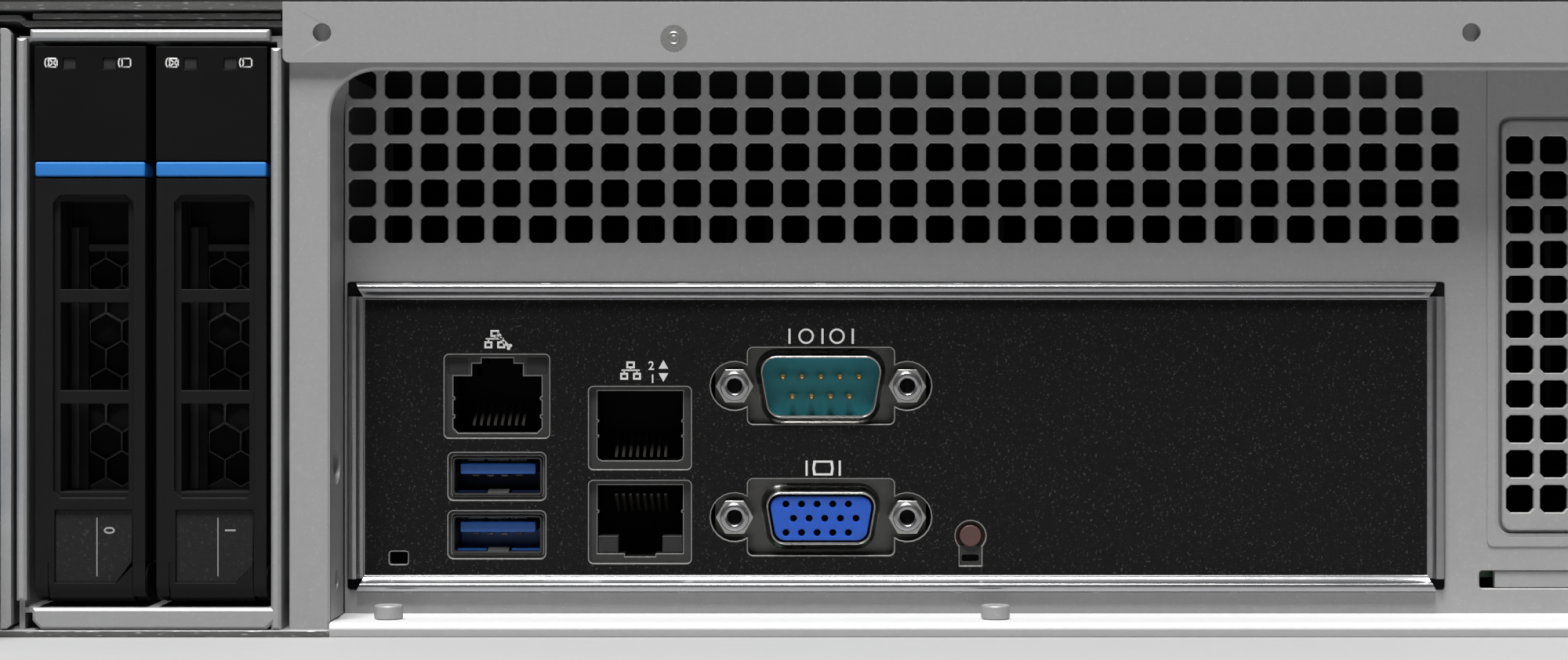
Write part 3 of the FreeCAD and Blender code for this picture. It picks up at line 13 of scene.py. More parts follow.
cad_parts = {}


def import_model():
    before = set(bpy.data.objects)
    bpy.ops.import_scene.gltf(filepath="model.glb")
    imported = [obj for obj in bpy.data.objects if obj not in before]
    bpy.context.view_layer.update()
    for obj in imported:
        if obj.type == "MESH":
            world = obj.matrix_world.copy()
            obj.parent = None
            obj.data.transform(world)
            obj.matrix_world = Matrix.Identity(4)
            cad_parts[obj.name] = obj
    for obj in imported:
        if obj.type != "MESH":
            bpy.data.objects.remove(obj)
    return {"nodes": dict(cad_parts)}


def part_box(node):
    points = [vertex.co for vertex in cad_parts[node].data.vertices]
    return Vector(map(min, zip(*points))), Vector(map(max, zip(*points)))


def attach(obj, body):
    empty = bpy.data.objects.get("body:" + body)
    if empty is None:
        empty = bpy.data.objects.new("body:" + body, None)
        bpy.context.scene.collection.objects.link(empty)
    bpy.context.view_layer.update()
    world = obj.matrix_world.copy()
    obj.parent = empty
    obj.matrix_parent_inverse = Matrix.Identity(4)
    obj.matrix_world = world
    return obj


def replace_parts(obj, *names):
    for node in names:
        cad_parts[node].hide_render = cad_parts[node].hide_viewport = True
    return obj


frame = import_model()

MM = 0.001
TOUCH = 0.01
"""How far, in millimetres, an edge may lie from a face and still count as lying on it."""
SAME = 1e-7
"""How near, in metres, two corners drawn twice lie to count as one."""
BUMP_DISTANCE = 0.0002
"""How high, in metres, a grain of full depth stands."""
LOG = logging.getLogger("rack_server")
Point = tuple[float, float]
Place = tuple[float, float, float]
Span = tuple[float, float]
Colour = tuple[float, float, float]


def placed(name: str, data: bpy.types.ID) -> bpy.types.Object:
    """Put an object with its data into the scene.

    Args:
        name: the object's name.
        data: its mesh, light or camera.

    Returns:
        The object.
    """
    item = bpy.data.objects.new(name, data)
    bpy.context.scene.collection.objects.link(item)
    return item


class Axis(Enum):
    """The direction that a round piece points along, as the turn from +Z."""

    Y = Matrix.Rotation(math.radians(-90), 4, "X")
    Z = Matrix.Identity(4)


# ------------------------------------------------------------------------------------ finishes


def grey(level: float) -> Colour:
    """Give an even grey."""
    return level, level, level


@dataclass(frozen=True)
class Finish:
    """A surface finish: its colours, gloss and grain.

    The grain is a fine noise that carries the bump; the mottling is a broad one that carries the
    second colour; the specks are small bright points.
    """

    name: str
    colour: Colour
    second: Colour | None = None
    metallic: float = 0.0
    roughness: float = 0.5
    spread: float = 0.08
    grain: float = 1500.0
    depth: float = 0.05
    stretch: Place = (1.0, 1.0, 1.0)
    mottle: float = 120.0
    specks: float = 0.0
    speck_colour: Colour = grey(0.5)
    speck_size: float = 2600.0
    glow: float = 0.0
    specular: float = 0.5

    def material(self) -> bpy.types.Material:
        """Make the finish's material, once.

        Returns:
            The node material that every piece of this finish shares.
        """
        title = f"{self.name}_finish"
        made = bpy.data.materials.get(title)
        if made:
            return made
        made = bpy.data.materials.new(title)
        made.use_nodes = True
        tree = made.node_tree
        place = tree.nodes.new("ShaderNodeTexCoord")
        mapping = self._node(tree, "ShaderNodeMapping",
                             {"Scale": self.stretch, "Vector": place.outputs["Object"]})
        turn = mapping.outputs["Vector"]
        fine = self._noise(tree, turn, self.grain, 3.0)
        broad = self._noise(tree, turn, self.mottle, 4.0)
        half = self._node(tree, "ShaderNodeMath", {0: fine, 1: 0.5}, operation="MULTIPLY").outputs[0]
        blend = self._node(tree, "ShaderNodeMath", {0: broad, 1: 0.5, 2: half}, operation="MULTIPLY_ADD")
        second = self.second or tuple(0.8 * level for level in self.colour)
        colour = self._mix(tree, (*self.colour, 1.0), second, blend.outputs[0])
        if self.specks:
            colour = self._specked(tree, turn, colour)
        gloss = self._node(tree, "ShaderNodeMapRange",
                           {"To Min": max(0.02, self.roughness - self.spread),
                            "To Max": self.roughness + self.spread, "Value": broad})
        bump = self._node(tree, "ShaderNodeBump",
                          {"Strength": self.depth, "Distance": BUMP_DISTANCE, "Height": fine})
        shader = tree.nodes["Principled BSDF"]
        self._feed(tree, shader,
                   {"Metallic": self.metallic, "Specular IOR Level": self.specular, "Base Color": colour,
                    "Roughness": gloss.outputs["Result"], "Normal": bump.outputs["Normal"]})
        if self.glow:
            self._feed(tree, shader, {"Emission Color": (*self.colour, 1.0),
                                      "Emission Strength": self.glow})
        return made

    @staticmethod
    def _feed(tree: bpy.types.NodeTree, node: bpy.types.Node, inputs: dict) -> None:
        """Give a node's inputs their values, or link them to the sockets given for them.

        Args:
            tree: the material's node tree.
            node: the node that is set.
            inputs: a value or a socket for each input.
        """
        for socket, value in inputs.items():
            if isinstance(value, bpy.types.NodeSocket):
                tree.links.new(value, node.inputs[socket])
            else:
                node.inputs[socket].default_value = value

    def _node(self, tree: bpy.types.NodeTree, kind: str, inputs: dict, **options: str) -> bpy.types.Node:
        """Add a node to a material.

        Args:
            tree: the material's node tree.
            kind: the node's type.
            inputs: a value or a socket for each input that is set.
            options: the node's own options, set before its inputs.

        Returns:
            The node.
        """
        node = tree.nodes.new(kind)
        for option, value in options.items():
            setattr(node, option, value)
        self._feed(tree, node, inputs)
        return node

    def _noise(self, tree: bpy.types.NodeTree, turn: bpy.types.NodeSocket, scale: float,
               detail: float) -> bpy.types.NodeSocket:
        """Add a noise that follows the object's own coordinates."""
        return self._node(tree, "ShaderNodeTexNoise",
                          {"Scale": scale, "Detail": detail, "Vector": turn}).outputs["Fac"]

    def _mix(self, tree: bpy.types.NodeTree, first: bpy.types.NodeSocket | tuple, second: Colour,
             factor: bpy.types.NodeSocket) -> bpy.types.NodeSocket:
        """Mix a second colour into a first one."""
        return self._node(tree, "ShaderNodeMix", {"A": first, "B": (*second, 1.0), "Factor": factor},
                          data_type="RGBA").outputs["Result"]

    def _specked(self, tree: bpy.types.NodeTree, turn: bpy.types.NodeSocket,
                 under: bpy.types.NodeSocket) -> bpy.types.NodeSocket:
        """Lay small bright specks over a colour.

        Args:
            tree: the material's node tree.
            turn: the coordinates that the specks follow.
            under: the colour below them.

        Returns:
            The colour with its specks.
        """
        cells = self._noise(tree, turn, self.speck_size, 1.0)
        ramp = self._node(tree, "ShaderNodeValToRGB", {"Fac": cells})
        for stop, position, level in zip(ramp.color_ramp.elements, (0.62, 0.78), (0.0, self.specks)):
            stop.position = position
            stop.color = (*grey(level), 1.0)
        return self._mix(tree, under, self.speck_colour, ramp.outputs["Color"])


ZINC = Finish("zinc_sheet", grey(0.36), grey(0.30), metallic=0.35, roughness=0.46,
              grain=1100.0, depth=0.10, mottle=260.0, specks=0.22, speck_colour=grey(0.52))
# A lighter, less metallic copy of the zinc for the ledge's top: painted light from the lamp above.
LEDGE_ZINC_PAINTED_LIGHT = Finish("ledge_zinc_painted_light", grey(0.62), grey(0.54), metallic=0.05, roughness=0.5,
                    grain=1100.0, depth=0.08, mottle=260.0)
RAW_EDGE = Finish("raw_edge", (0.16, 0.16, 0.155), grey(0.05), metallic=0.4, roughness=0.45,
                  grain=900.0, depth=0.35, stretch=(0.35, 1.0, 2.5), mottle=420.0, specks=0.7,
                  speck_colour=grey(0.5), speck_size=1700.0)
CUT_EDGE = Finish("cut_edge", (0.34, 0.34, 0.33), (0.20, 0.20, 0.195), metallic=0.5, roughness=0.4,
                  grain=1500.0, depth=0.3, mottle=700.0)
TIN = Finish("bright_tin", (0.3588, 0.3588, 0.366), (0.2727, 0.2727, 0.2799), metallic=0.9,
             roughness=0.24, spread=0.06, grain=600.0, depth=0.03, mottle=90.0)
FILM = Finish("black_film", grey(0.0062), grey(0.0095), roughness=0.55, grain=1700.0,
              depth=0.25, mottle=700.0, specks=0.8, speck_colour=grey(0.05), speck_size=3000.0,
              specular=0.05)
BLACK = Finish("black_plastic", (0.0065, 0.0065, 0.0068), (0.0095, 0.0095, 0.0098), roughness=0.5,
               grain=1600.0, depth=0.08, mottle=200.0, specular=0.1)
SATIN_BLACK = Finish("satin_black", (0.0048, 0.0048, 0.005), (0.0068, 0.0068, 0.007), roughness=0.42,
                     grain=2200.0, depth=0.03, mottle=90.0, specular=0.07)
FIELD = Finish("label_field", (0.0065, 0.0065, 0.0067), (0.0095, 0.0095, 0.0097), roughness=0.6,
               grain=1500.0, depth=0.3, mottle=500.0, specks=0.6, speck_colour=grey(0.04), specular=0.25)
COMB = Finish("comb_black", grey(0.0035), grey(0.0049), roughness=0.5, mottle=300.0,
              specular=0.25)
# A lighter grey on the rounded edges of the rear comb's holes: painted highlight.
COMB_PAINTED_HIGHLIGHT = Finish("comb_painted_highlight", grey(0.045), grey(0.02), roughness=0.4, mottle=500.0,
                   specular=0.4)
RIB = Finish("tray_rib", grey(0.008), grey(0.005), roughness=0.45, mottle=500.0, specular=0.3)
# Near black: the black plastic inside the jacks, and painted shade in openings, bores, slots and behind
# holes.
DARK = Finish("black_and_painted_shade", grey(0.003), grey(0.0022), roughness=0.7, specular=0.1)
BLUE = Finish("latch_blue", (0.0244, 0.1741, 0.5187), (0.0207, 0.1519, 0.4668), roughness=0.42,
              depth=0.04, specular=0.3)
USB_BLUE = Finish("tongue_blue", (0.0101, 0.1014, 0.4056), (0.0072, 0.0761, 0.3245),
                  roughness=0.38, depth=0.05)
# Darker copies of the tongue's blue: painted shade on the floor and back of the USB ports.
USB_BLUE_PAINTED_SHADE = Finish("tongue_root_painted_shade", (0.003, 0.012, 0.05), (0.002, 0.008, 0.035),
                   roughness=0.5, specular=0.2)
USB_BLUE_DIM = Finish("tongue_shade", (0.0081, 0.0913, 0.365), (0.0061, 0.071, 0.3042),
                      roughness=0.4, depth=0.05)
TEAL = Finish("insert_teal", (0.0065, 0.2457, 0.303), (0.0049, 0.2048, 0.2621),
              roughness=0.45, depth=0.05)
VIDEO_BLUE = Finish("insert_blue", (0.0089, 0.0741, 0.4298), (0.0074, 0.063, 0.3705),
                    roughness=0.45, depth=0.05)
NICKEL = Finish("nickel", (0.46, 0.455, 0.44), (0.34, 0.335, 0.32), metallic=0.9, roughness=0.28,
                grain=900.0, depth=0.08, mottle=240.0)
DISHED = Finish("dished_steel", (0.15, 0.148, 0.143), (0.09, 0.089, 0.086), metallic=0.8, roughness=0.34,
                grain=900.0, depth=0.10, mottle=260.0)
JACK_STEEL = Finish("jack_steel", (0.045, 0.045, 0.044), (0.028, 0.028, 0.0275), metallic=0.3,
                    roughness=0.42, grain=900.0, depth=0.06, mottle=400.0, specular=0.3)
SHELL_STEEL = Finish("shell_steel", (0.06, 0.06, 0.058), (0.03, 0.03, 0.029), metallic=0.6, roughness=0.4,
                     mottle=500.0)
CUT_STEEL = Finish("cut_steel", (0.30, 0.30, 0.295), (0.18, 0.18, 0.178), metallic=0.5, roughness=0.38,
                   grain=1400.0, depth=0.25, mottle=900.0)
GOLD = Finish("gold_pin", (0.75, 0.52, 0.22), (0.45, 0.28, 0.10),
              metallic=0.9, roughness=0.25, mottle=900.0)
# Contacts darkened from gold to near black: painted shade deep in the jacks and ports.
CONTACT_PAINTED_SHADE = Finish("contact_painted_shade", (0.05, 0.047, 0.04), (0.025, 0.023, 0.02), metallic=0.5,
                      roughness=0.4, mottle=900.0)
PRINT = Finish("white_print", (0.62, 0.62, 0.61), (0.54, 0.54, 0.53), roughness=0.6, depth=0.02)
DIM_PRINT = Finish("dim_print", grey(0.30), grey(0.24), roughness=0.6, depth=0.02)
LAMP_DARK = Finish("lamp_dark", grey(0.010), grey(0.028), roughness=0.55, grain=2600.0,
                   mottle=1500.0, specular=0.25)
BUTTON = Finish("button_red", (0.0829, 0.037, 0.0331), (0.0638, 0.0281, 0.0255), roughness=0.5,
                mottle=900.0)
BOARD = Finish("board_green", (0.012, 0.06, 0.028), (0.02, 0.085, 0.04), roughness=0.42, mottle=420.0)
CHIP = Finish("chip_black", grey(0.014), grey(0.02), roughness=0.4, mottle=900.0)
# Aluminium darkened far below its own tone: painted shade for the fins and cans deep inside the closed
# chassis.
ALUMINIUM_PAINTED_SHADE = Finish("fin_aluminium_painted_shade", (0.08, 0.081, 0.0825), (0.06, 0.061, 0.0625), metallic=0.7,
                   roughness=0.5, stretch=(1.0, 1.0, 6.0))
DRIVE = Finish("drive_case", (0.10, 0.10, 0.102), (0.07, 0.07, 0.072), metallic=0.5, roughness=0.45,
               mottle=160.0)
PAINT = Finish("black_paint", (0.009, 0.009, 0.0095), (0.013, 0.013, 0.0135), roughness=0.45,
               grain=2000.0, depth=0.2, mottle=150.0, specular=0.3)
LENS = Finish("lamp_lens", (0.05, 0.45, 0.12), (0.04, 0.38, 0.10), roughness=0.25, glow=0.15)
STICKER = Finish("bare_sticker", (0.60, 0.60, 0.58), (0.55, 0.55, 0.53), roughness=0.55, depth=0.02)
FLOOR = Finish("floor_pale", grey(0.35), grey(0.335), roughness=0.7, depth=0.0)


# ------------------------------------------------------------------------------- shaping metal


@dataclass
class Box:
    """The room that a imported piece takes, in millimetres."""

    node: str

    def __post_init__(self) -> None:
        """Read the corners from the frame."""
        low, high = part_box(self.node)
        self.x = (low[0] / MM, high[0] / MM)
        self.y = (low[1] / MM, high[1] / MM)
        self.z = (low[2] / MM, high[2] / MM)

    @staticmethod
    def middle(span: Span) -> float:
        """Give the middle of a span."""
        return (span[0] + span[1]) / 2


def rectangle(x: Span, z: Span) -> list[Point]:
    """Give the corners of a rectangle."""
    return [(x[0], z[0]), (x[1], z[0]), (x[1], z[1]), (x[0], z[1])]


def about(x: float, z: float, half: float, rise: float) -> tuple[Span, Span]:
    """Give the spans that reach equally far to each side of a middle."""
    return (x - half, x + half), (z - rise, z + rise)


def mirrored(x: float, z: float, right: Sequence[Point]) -> list[Point]:
    """Give a whole outline about a middle from its right half."""
    return [(x + a, z + b) for a, b in right] + [(x - a, z + b) for a, b in reversed(right)]


def before(depth: float) -> Callable[[Vector], bool]:
    """Give the test that picks edges lying at a y or in front of it."""
    return lambda middle: middle.y < depth + TOUCH


def strip(start: Point, end: Point, width: float) -> list[Point]:
    """Give the outline of a straight strip between two points.

    Args:
        start: the middle of its first end.
        end: the middle of its last end.
        width: its width.

    Returns:
        The four corners in order.
    """
    along = (Vector(end) - Vector(start)).normalized()
    across = Vector((-along.y, along.x)) * width / 2
    return [(start[0] - across.x, start[1] - across.y), (end[0] - across.x, end[1] - across.y),
            (end[0] + across.x, end[1] + across.y), (start[0] + across.x, start[1] + across.y)]


def filleted(corners: Sequence[Point], radius: float, steps: int = 4) -> list[Point]:
    """Round every corner of an outline.

    Args:
        corners: the outline's corners in order.
        radius: the radius of each rounding.
        steps: the flats in each rounding.

    Returns:
        The rounded outline.
    """
    points = []
    count = len(corners)
    for index in range(count):
        here = Vector(corners[index])
        back = (Vector(corners[index - 1]) - here).normalized()
        ahead = (Vector(corners[(index + 1) % count]) - here).normalized()
        half = math.acos(max(-1.0, min(1.0, back.dot(ahead)))) / 2
        reach = radius / math.tan(half)
        start, end = here + back * reach, here + ahead * reach
        centre = here + (back + ahead).normalized() * radius / math.sin(half)
        for step in range(steps + 1):
            way = (start - centre).normalized().slerp((end - centre).normalized(), step / steps)
            points.append(tuple(centre + way * radius))
    return points


def rounded(x: Span, z: Span, radius: float, steps: int = 4) -> list[Point]:
    """Give the outline of a rectangle with round corners."""
    return filleted(rectangle(x, z), radius, steps)


def octagon(x: float, z: float, width: float, chamfer: float) -> list[Point]:
    """Give the outline of a square hole with cut corners.

    Args:
        x: the hole's middle.
        z: its middle height.
        width: its width and its height.
        chamfer: the reach of each cut corner.

    Returns:
        The eight corners in order.
    """
    half, cut = width / 2, width / 2 - chamfer
    return [(x - cut, z - half), (x + cut, z - half), (x + half, z - cut), (x + half, z + cut),
            (x + cut, z + half), (x - cut, z + half), (x - half, z + cut), (x - half, z - cut)]


def polar(x: float, z: float, radius: float, angle: float) -> Point:
    """Give the point at a distance from a middle, at an angle in radians."""
    return x + radius * math.cos(angle), z + radius * math.sin(angle)


def circle(x: float, z: float, radius: float, steps: int = 28, start: float = 0.0) -> list[Point]:
    """Give the outline of a circle, or of a regular shape with few steps."""
    return [polar(x, z, radius, math.radians(start) + 2 * math.pi * i / steps) for i in range(steps)]


def arc(x: float, z: float, radius: float, start: float, end: float, steps: int = 8) -> list[Point]:
    """Give the points of an arc between two angles in degrees."""
    return [polar(x, z, radius, math.radians(start + (end - start) * i / steps))
            for i in range(steps + 1)]


def wedge(x: float, z: float, half: float, rise: float, radius: float, steps: int = 6) -> list[Point]:
    """Give the outline of a nine or fifteen way port.

    Args:
        x: its middle.
        z: its middle height.
        half: half of its width at the top.
        rise: half of its height.
        radius: the rounding of its corners.
        steps: the flats in each corner.

    Returns:
        The outline, which narrows by ten degrees a side towards the foot.
    """
    foot = half - 2 * rise * math.tan(math.radians(10))
    return filleted([(x - foot, z - rise), (x + foot, z - rise), (x + half, z + rise),
                     (x - half, z + rise)], radius, steps)


@dataclass
class Blank:
    """A piece in the making: a mesh whose methods take millimetres."""

    name: str
    mesh: bmesh.types.BMesh = field(default_factory=bmesh.new)

    def block(self, x: Span, y: Span, z: Span) -> "Blank":
        """Add a block between two corners.

        Args:
            x: its left and right.
            y: its rear and front.
            z: its foot and top.

        Returns:
            This blank.
        """
        middle = Vector(((x[0] + x[1]) / 2, (y[0] + y[1]) / 2, (z[0] + z[1]) / 2)) * MM
        size = Matrix.Diagonal(((x[1] - x[0]) * MM, (y[1] - y[0]) * MM, (z[1] - z[0]) * MM, 1.0))
        bmesh.ops.create_cube(self.mesh, size=1.0, matrix=Matrix.Translation(middle) @ size)
        return self

    def rod(self, centre: Place, radius: float, length: float, axis: Axis = Axis.Y,
            segments: int = 24) -> "Blank":
        """Add a round bar about a centre.

        Args:
            centre: the middle of the bar.
            radius: its radius.
            length: its length along the axis.
            axis: the way it points.
            segments: how many flats make the round.

        Returns:
            This blank.
        """
        bmesh.ops.create_cone(self.mesh, cap_ends=True, cap_tris=False, segments=segments,
                              radius1=radius * MM, radius2=radius * MM, depth=length * MM,
                              matrix=Matrix.Translation(Vector(centre) * MM) @ axis.value)
        return self

    def _loop(self, places: Iterable[Place]) -> list[bmesh.types.BMEdge]:
        """Draw a closed line through places."""
        ends = [self.mesh.verts.new(Vector(place) * MM) for place in places]
        return [self.mesh.edges.new((ends[i - 1], ends[i])) for i in range(len(ends))]

    def prism(self, corners: Sequence[Place], push: Place,
              holes: Iterable[Sequence[Place]] = ()) -> "Blank":
        """Push a flat outline, with holes in it, through a length.

        Args:
            corners: the outline's corners.
            push: the way and the distance that it is pushed.
            holes: the corners of each hole.

        Returns:
            This blank.
        """
        loops = [self._loop(places) for places in (corners, *holes)]
        if len(loops) > 1:
            filled = bmesh.ops.triangle_fill(self.mesh, use_beauty=True, use_dissolve=False,
                                             edges=[edge for loop in loops for edge in loop])
            faces = [item for item in filled["geom"] if isinstance(item, bmesh.types.BMFace)]
        else:
            faces = bmesh.ops.contextual_create(self.mesh, geom=loops[0])["faces"]
        pushed = bmesh.ops.extrude_face_region(self.mesh, geom=faces, use_keep_orig=True)
        moved = [item for item in pushed["geom"] if isinstance(item, bmesh.types.BMVert)]
        bmesh.ops.translate(self.mesh, verts=moved, vec=Vector(push) * MM)
        skin = {face for vert in moved for face in vert.link_faces} | set(faces)
        bmesh.ops.recalc_face_normals(self.mesh, faces=list(skin))
        return self

    def plate(self, outline: Sequence[Point], near: float, far: float,
              holes: Iterable[Sequence[Point]] = ()) -> "Blank":
        """Add a plate square to Y, between two values of y, with holes through it."""
        return self.prism([(x, near, z) for x, z in outline], (0.0, far - near, 0.0),
                          [[(x, near, z) for x, z in hole] for hole in holes])

    def loft(self, rings: Sequence[Sequence[Place]], closed: bool = False) -> "Blank":
        """Stretch a skin over rings of equal count.

        Args:
            rings: the rings from the first to the last.
            closed: whether the last ring runs back to the first one; otherwise both ends are capped.

        Returns:
            This blank.
        """
        loops = [self._loop(ring) for ring in rings]
        pairs = list(zip(loops, loops[1:])) + ([(loops[-1], loops[0])] if closed else [])
        for first, second in pairs:
            bmesh.ops.bridge_loops(self.mesh, edges=first + second)
        if not closed:
            for loop in (loops[0], loops[-1]):
                bmesh.ops.contextual_create(self.mesh, geom=loop)
        return self

    def collar(self, rings: Sequence[tuple[Sequence[Point], float]]) -> "Blank":
        """Stretch a closed ring wall over outlines of (x, z), each at its y."""
        return self.loft([[(x, depth, z) for x, z in outline] for outline, depth in rings], closed=True)

    def turned(self, profile: Sequence[Point], centre: Place, segments: int = 32) -> "Blank":
        """Turn a profile of (radius, y) about a line along Y through a centre.

        Args:
            profile: the profile's points, which closes on itself or starts and ends on the line.
            centre: the point on the line that the profile is measured from.
            segments: the flats in a full turn.

        Returns:
            This blank.
        """
        middle = Vector(centre) * MM
        ends = [self.mesh.verts.new(middle + Vector((radius, depth, 0.0)) * MM)
                for radius, depth in profile]
        edges = [self.mesh.edges.new((ends[i], ends[i + 1])) for i in range(len(ends) - 1)]
        if profile[0][0] > 0.0 and profile[-1][0] > 0.0:
            edges.append(self.mesh.edges.new((ends[-1], ends[0])))
        bmesh.ops.spin(self.mesh, geom=ends + edges, cent=middle, axis=(0.0, 1.0, 0.0),
                       dvec=(0.0, 0.0, 0.0), angle=2 * math.pi, steps=segments, use_merge=True,
                       use_duplicate=False)
        bmesh.ops.remove_doubles(self.mesh, verts=self.mesh.verts, dist=SAME)
        return self

    def bevelled(self, width: float, segments: int = 2, sharper: float = 30.0,
                 where: Callable[[Vector], bool] | None = None) -> "Blank":
        """Round the edges that turn by more than an angle.

        Args:
            width: the width of the rounding.
            segments: the flats across it.
            sharper: the least turn of an edge that is rounded, in degrees.
            where: a test of an edge's middle, in millimetres, that picks the edges.

        Returns:
            This blank.
        """
        limit = math.radians(sharper)
        edges = [edge for edge in self.mesh.edges
                 if len(edge.link_faces) == 2 and edge.calc_face_angle(0.0) > limit
                 and (where is None or where((edge.verts[0].co + edge.verts[1].co) / (2 * MM)))]
        bmesh.ops.bevel(self.mesh, geom=edges, offset=width * MM, offset_type="OFFSET", affect="EDGES",
                        segments=segments, profile=0.5, material=-1, clamp_overlap=True)
        return self

    def painted(self, index: int, where: Callable[[bmesh.types.BMFace], bool]) -> "Blank":
        """Give the faces that pass a test another of the piece's finishes.

        Args:
            index: the finish's place among the piece's finishes.
            where: the test of a face.

        Returns:
            This blank.
        """
        for face in self.mesh.faces:
            if where(face):
                face.material_index = index
        return self

    def outward(self) -> "Blank":
        """Merge doubles and turn every face outwards.

        Returns:
            This blank.
        """
        bmesh.ops.remove_doubles(self.mesh, verts=self.mesh.verts, dist=SAME)
        bmesh.ops.recalc_face_normals(self.mesh, faces=self.mesh.faces)
        return self

    def done(self, finish: Finish, body: str = "chassis", smooth: float = 35.0,
             others: Sequence[Finish] = ()) -> bpy.types.Object:
        """Turn the blank into a piece that rides on a body.

        Args:
            finish: the piece's finish.
            body: the body that carries it.
            smooth: edges that turn by less than this many degrees look round.
            others: further finishes, for faces with their own material index.

        Returns:
            The piece.
        """
        data = bpy.data.meshes.new(self.name)
        self.mesh.to_mesh(data)
        self.mesh.free()
        for item in (finish, *others):
            data.materials.append(item.material())
        data.shade_smooth()
        data.set_sharp_from_angle(angle=math.radians(smooth))
        piece = placed(self.name, data)
        even = piece.modifiers.new("even_shading", "WEIGHTED_NORMAL")
        even.keep_sharp = True
        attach(piece, body)
        LOG.info("%s: %d faces", self.name, len(data.polygons))
        return piece


def centre_mm(face: bmesh.types.BMFace) -> Vector:
    """Give the middle of a face in millimetres."""
    return face.calc_center_median() / MM


@dataclass
class Carried:
    """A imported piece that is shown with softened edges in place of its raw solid."""

    node: str
    body: str
    finish: Finish
    width: float = 0.15
    segments: int = 2
    others: Sequence[Finish] = ()
    pick: Callable[[bmesh.types.BMFace], int] | None = None

    def build(self) -> bpy.types.Object:
        """Copy the solid, round its edges and let the copy stand for it.

        Returns:
            The piece that replaces the solid.
        """
        blank = Blank(f"{self.node}_shell")
        blank.mesh.from_mesh(frame["nodes"][self.node].data)
        bmesh.ops.remove_doubles(blank.mesh, verts=blank.mesh.verts, dist=20 * SAME)
        bmesh.ops.dissolve_limit(blank.mesh, angle_limit=math.radians(0.4), verts=blank.mesh.verts,
                                 edges=blank.mesh.edges)
        for face in blank.mesh.faces:
            face.material_index = self.pick(face) if self.pick else 0
        if self.width:
            blank.bevelled(self.width, self.segments)
        piece = blank.done(self.finish, self.body, others=self.others)
        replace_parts(piece, self.node)
        return piece


def moving(node: str, finish: Finish, width: float, segments: int = 2) -> None:
    """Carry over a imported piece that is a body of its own."""
    Carried(node, node, finish, width, segments).build()


def fixed(node: str, finish: Finish, width: float, segments: int = 2) -> None:
    """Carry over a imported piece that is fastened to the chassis."""
    Carried(node, "chassis", finish, width, segments).build()


@dataclass
class Bare:
    """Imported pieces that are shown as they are, with a finish of their own."""

    nodes: Sequence[str]
    finish: Finish

    def build(self) -> None:
        """Give each node's own slots the finish."""
        for node in self.nodes:
            data = frame["nodes"][node].data
            data.materials.clear()
            data.materials.append(self.finish.material())
            LOG.info("%s: finished in %s", node, self.finish.name)


# ------------------------------------------------------------------------------------- prints


@dataclass
class Print:
    """White marks printed on a face that looks to the rear."""

    name: str
    face: float
    body: str = "chassis"
    line: float = 0.28
    ink: float = 0.03
    blank: Blank = field(init=False)

    def __post_init__(self) -> None:
        """Start the layer of ink."""
        self.blank = Blank(self.name)

    def stroke(self, start: Point, end: Point, width: float | None = None) -> "Print":
        """Print a straight line between two points."""
        return self.solid(strip(start, end, width or self.line))

    def outline(self, outer: Sequence[Point], inner: Sequence[Point]) -> "Print":
        """Print the band between two outlines."""
        return self.solid(outer, [inner])

    def frame_of(self, x: Span, z: Span) -> "Print":
        """Print the outline of a rectangle."""
        return self.outline(rectangle(x, z), rectangle((x[0] + self.line, x[1] - self.line),
                                                       (z[0] + self.line, z[1] - self.line)))

    def ring(self, x: float, z: float, radius: float, squeeze: float = 1.0) -> "Print":
        """Print the outline of a circle, or of an upright ellipse.

        Args:
            x: its middle.
            z: its middle height.
            radius: its outer radius.
            squeeze: its width as a share of its height.

        Returns:
            This print.
        """
        inner = radius - self.line
        return self.outline([(x + (px - x) * squeeze, pz) for px, pz in circle(x, z, radius)],
                            [(x + (px - x) * (radius * squeeze - self.line) / inner, pz)
                             for px, pz in circle(x, z, inner)])

    def solid(self, corners: Sequence[Point], holes: Iterable[Sequence[Point]] = ()) -> "Print":
        """Print a filled shape, with the holes left bare."""
        self.blank.plate(corners, self.face - self.ink, self.face + TOUCH, holes)
        return self

    def digit(self, text: str, x: float, z: float, size: float, turned: bool = False) -> "Print":
        """Print a plain number.

        Args:
            text: the digit.
            x: the left of the digit, or the line that it stands on where it is turned.
            z: the foot of the digit.
            size: its height.
            turned: whether it reads upwards.

        Returns:
            This print.
        """
        curve = bpy.data.curves.new(f"{self.name}_{text}", "FONT")
        curve.body = text
        curve.size = size * 1.4 * MM
        curve.offset = 0.02 * size * MM
        curve.extrude = 0.02 * MM
        carrier = bpy.data.objects.new(curve.name, curve)
        data = bpy.data.meshes.new_from_object(carrier)
        upright = Matrix.Rotation(math.radians(90), 4, "X")
        spin = Matrix.Rotation(math.radians(-90 if turned else 0), 4, "Y")
        data.transform(Matrix.Translation(Vector((x, self.face - 0.02, z)) * MM) @ spin @ upright)
        self.blank.mesh.from_mesh(data)
        bpy.data.objects.remove(carrier)
        bpy.data.meshes.remove(data)
        bpy.data.curves.remove(curve)
        return self

    def done(self, finish: Finish = PRINT) -> bpy.types.Object:
        """Dry the ink: make the piece."""
        return self.blank.outward().done(finish, self.body)


# -------------------------------------------------------------------------------------- casing


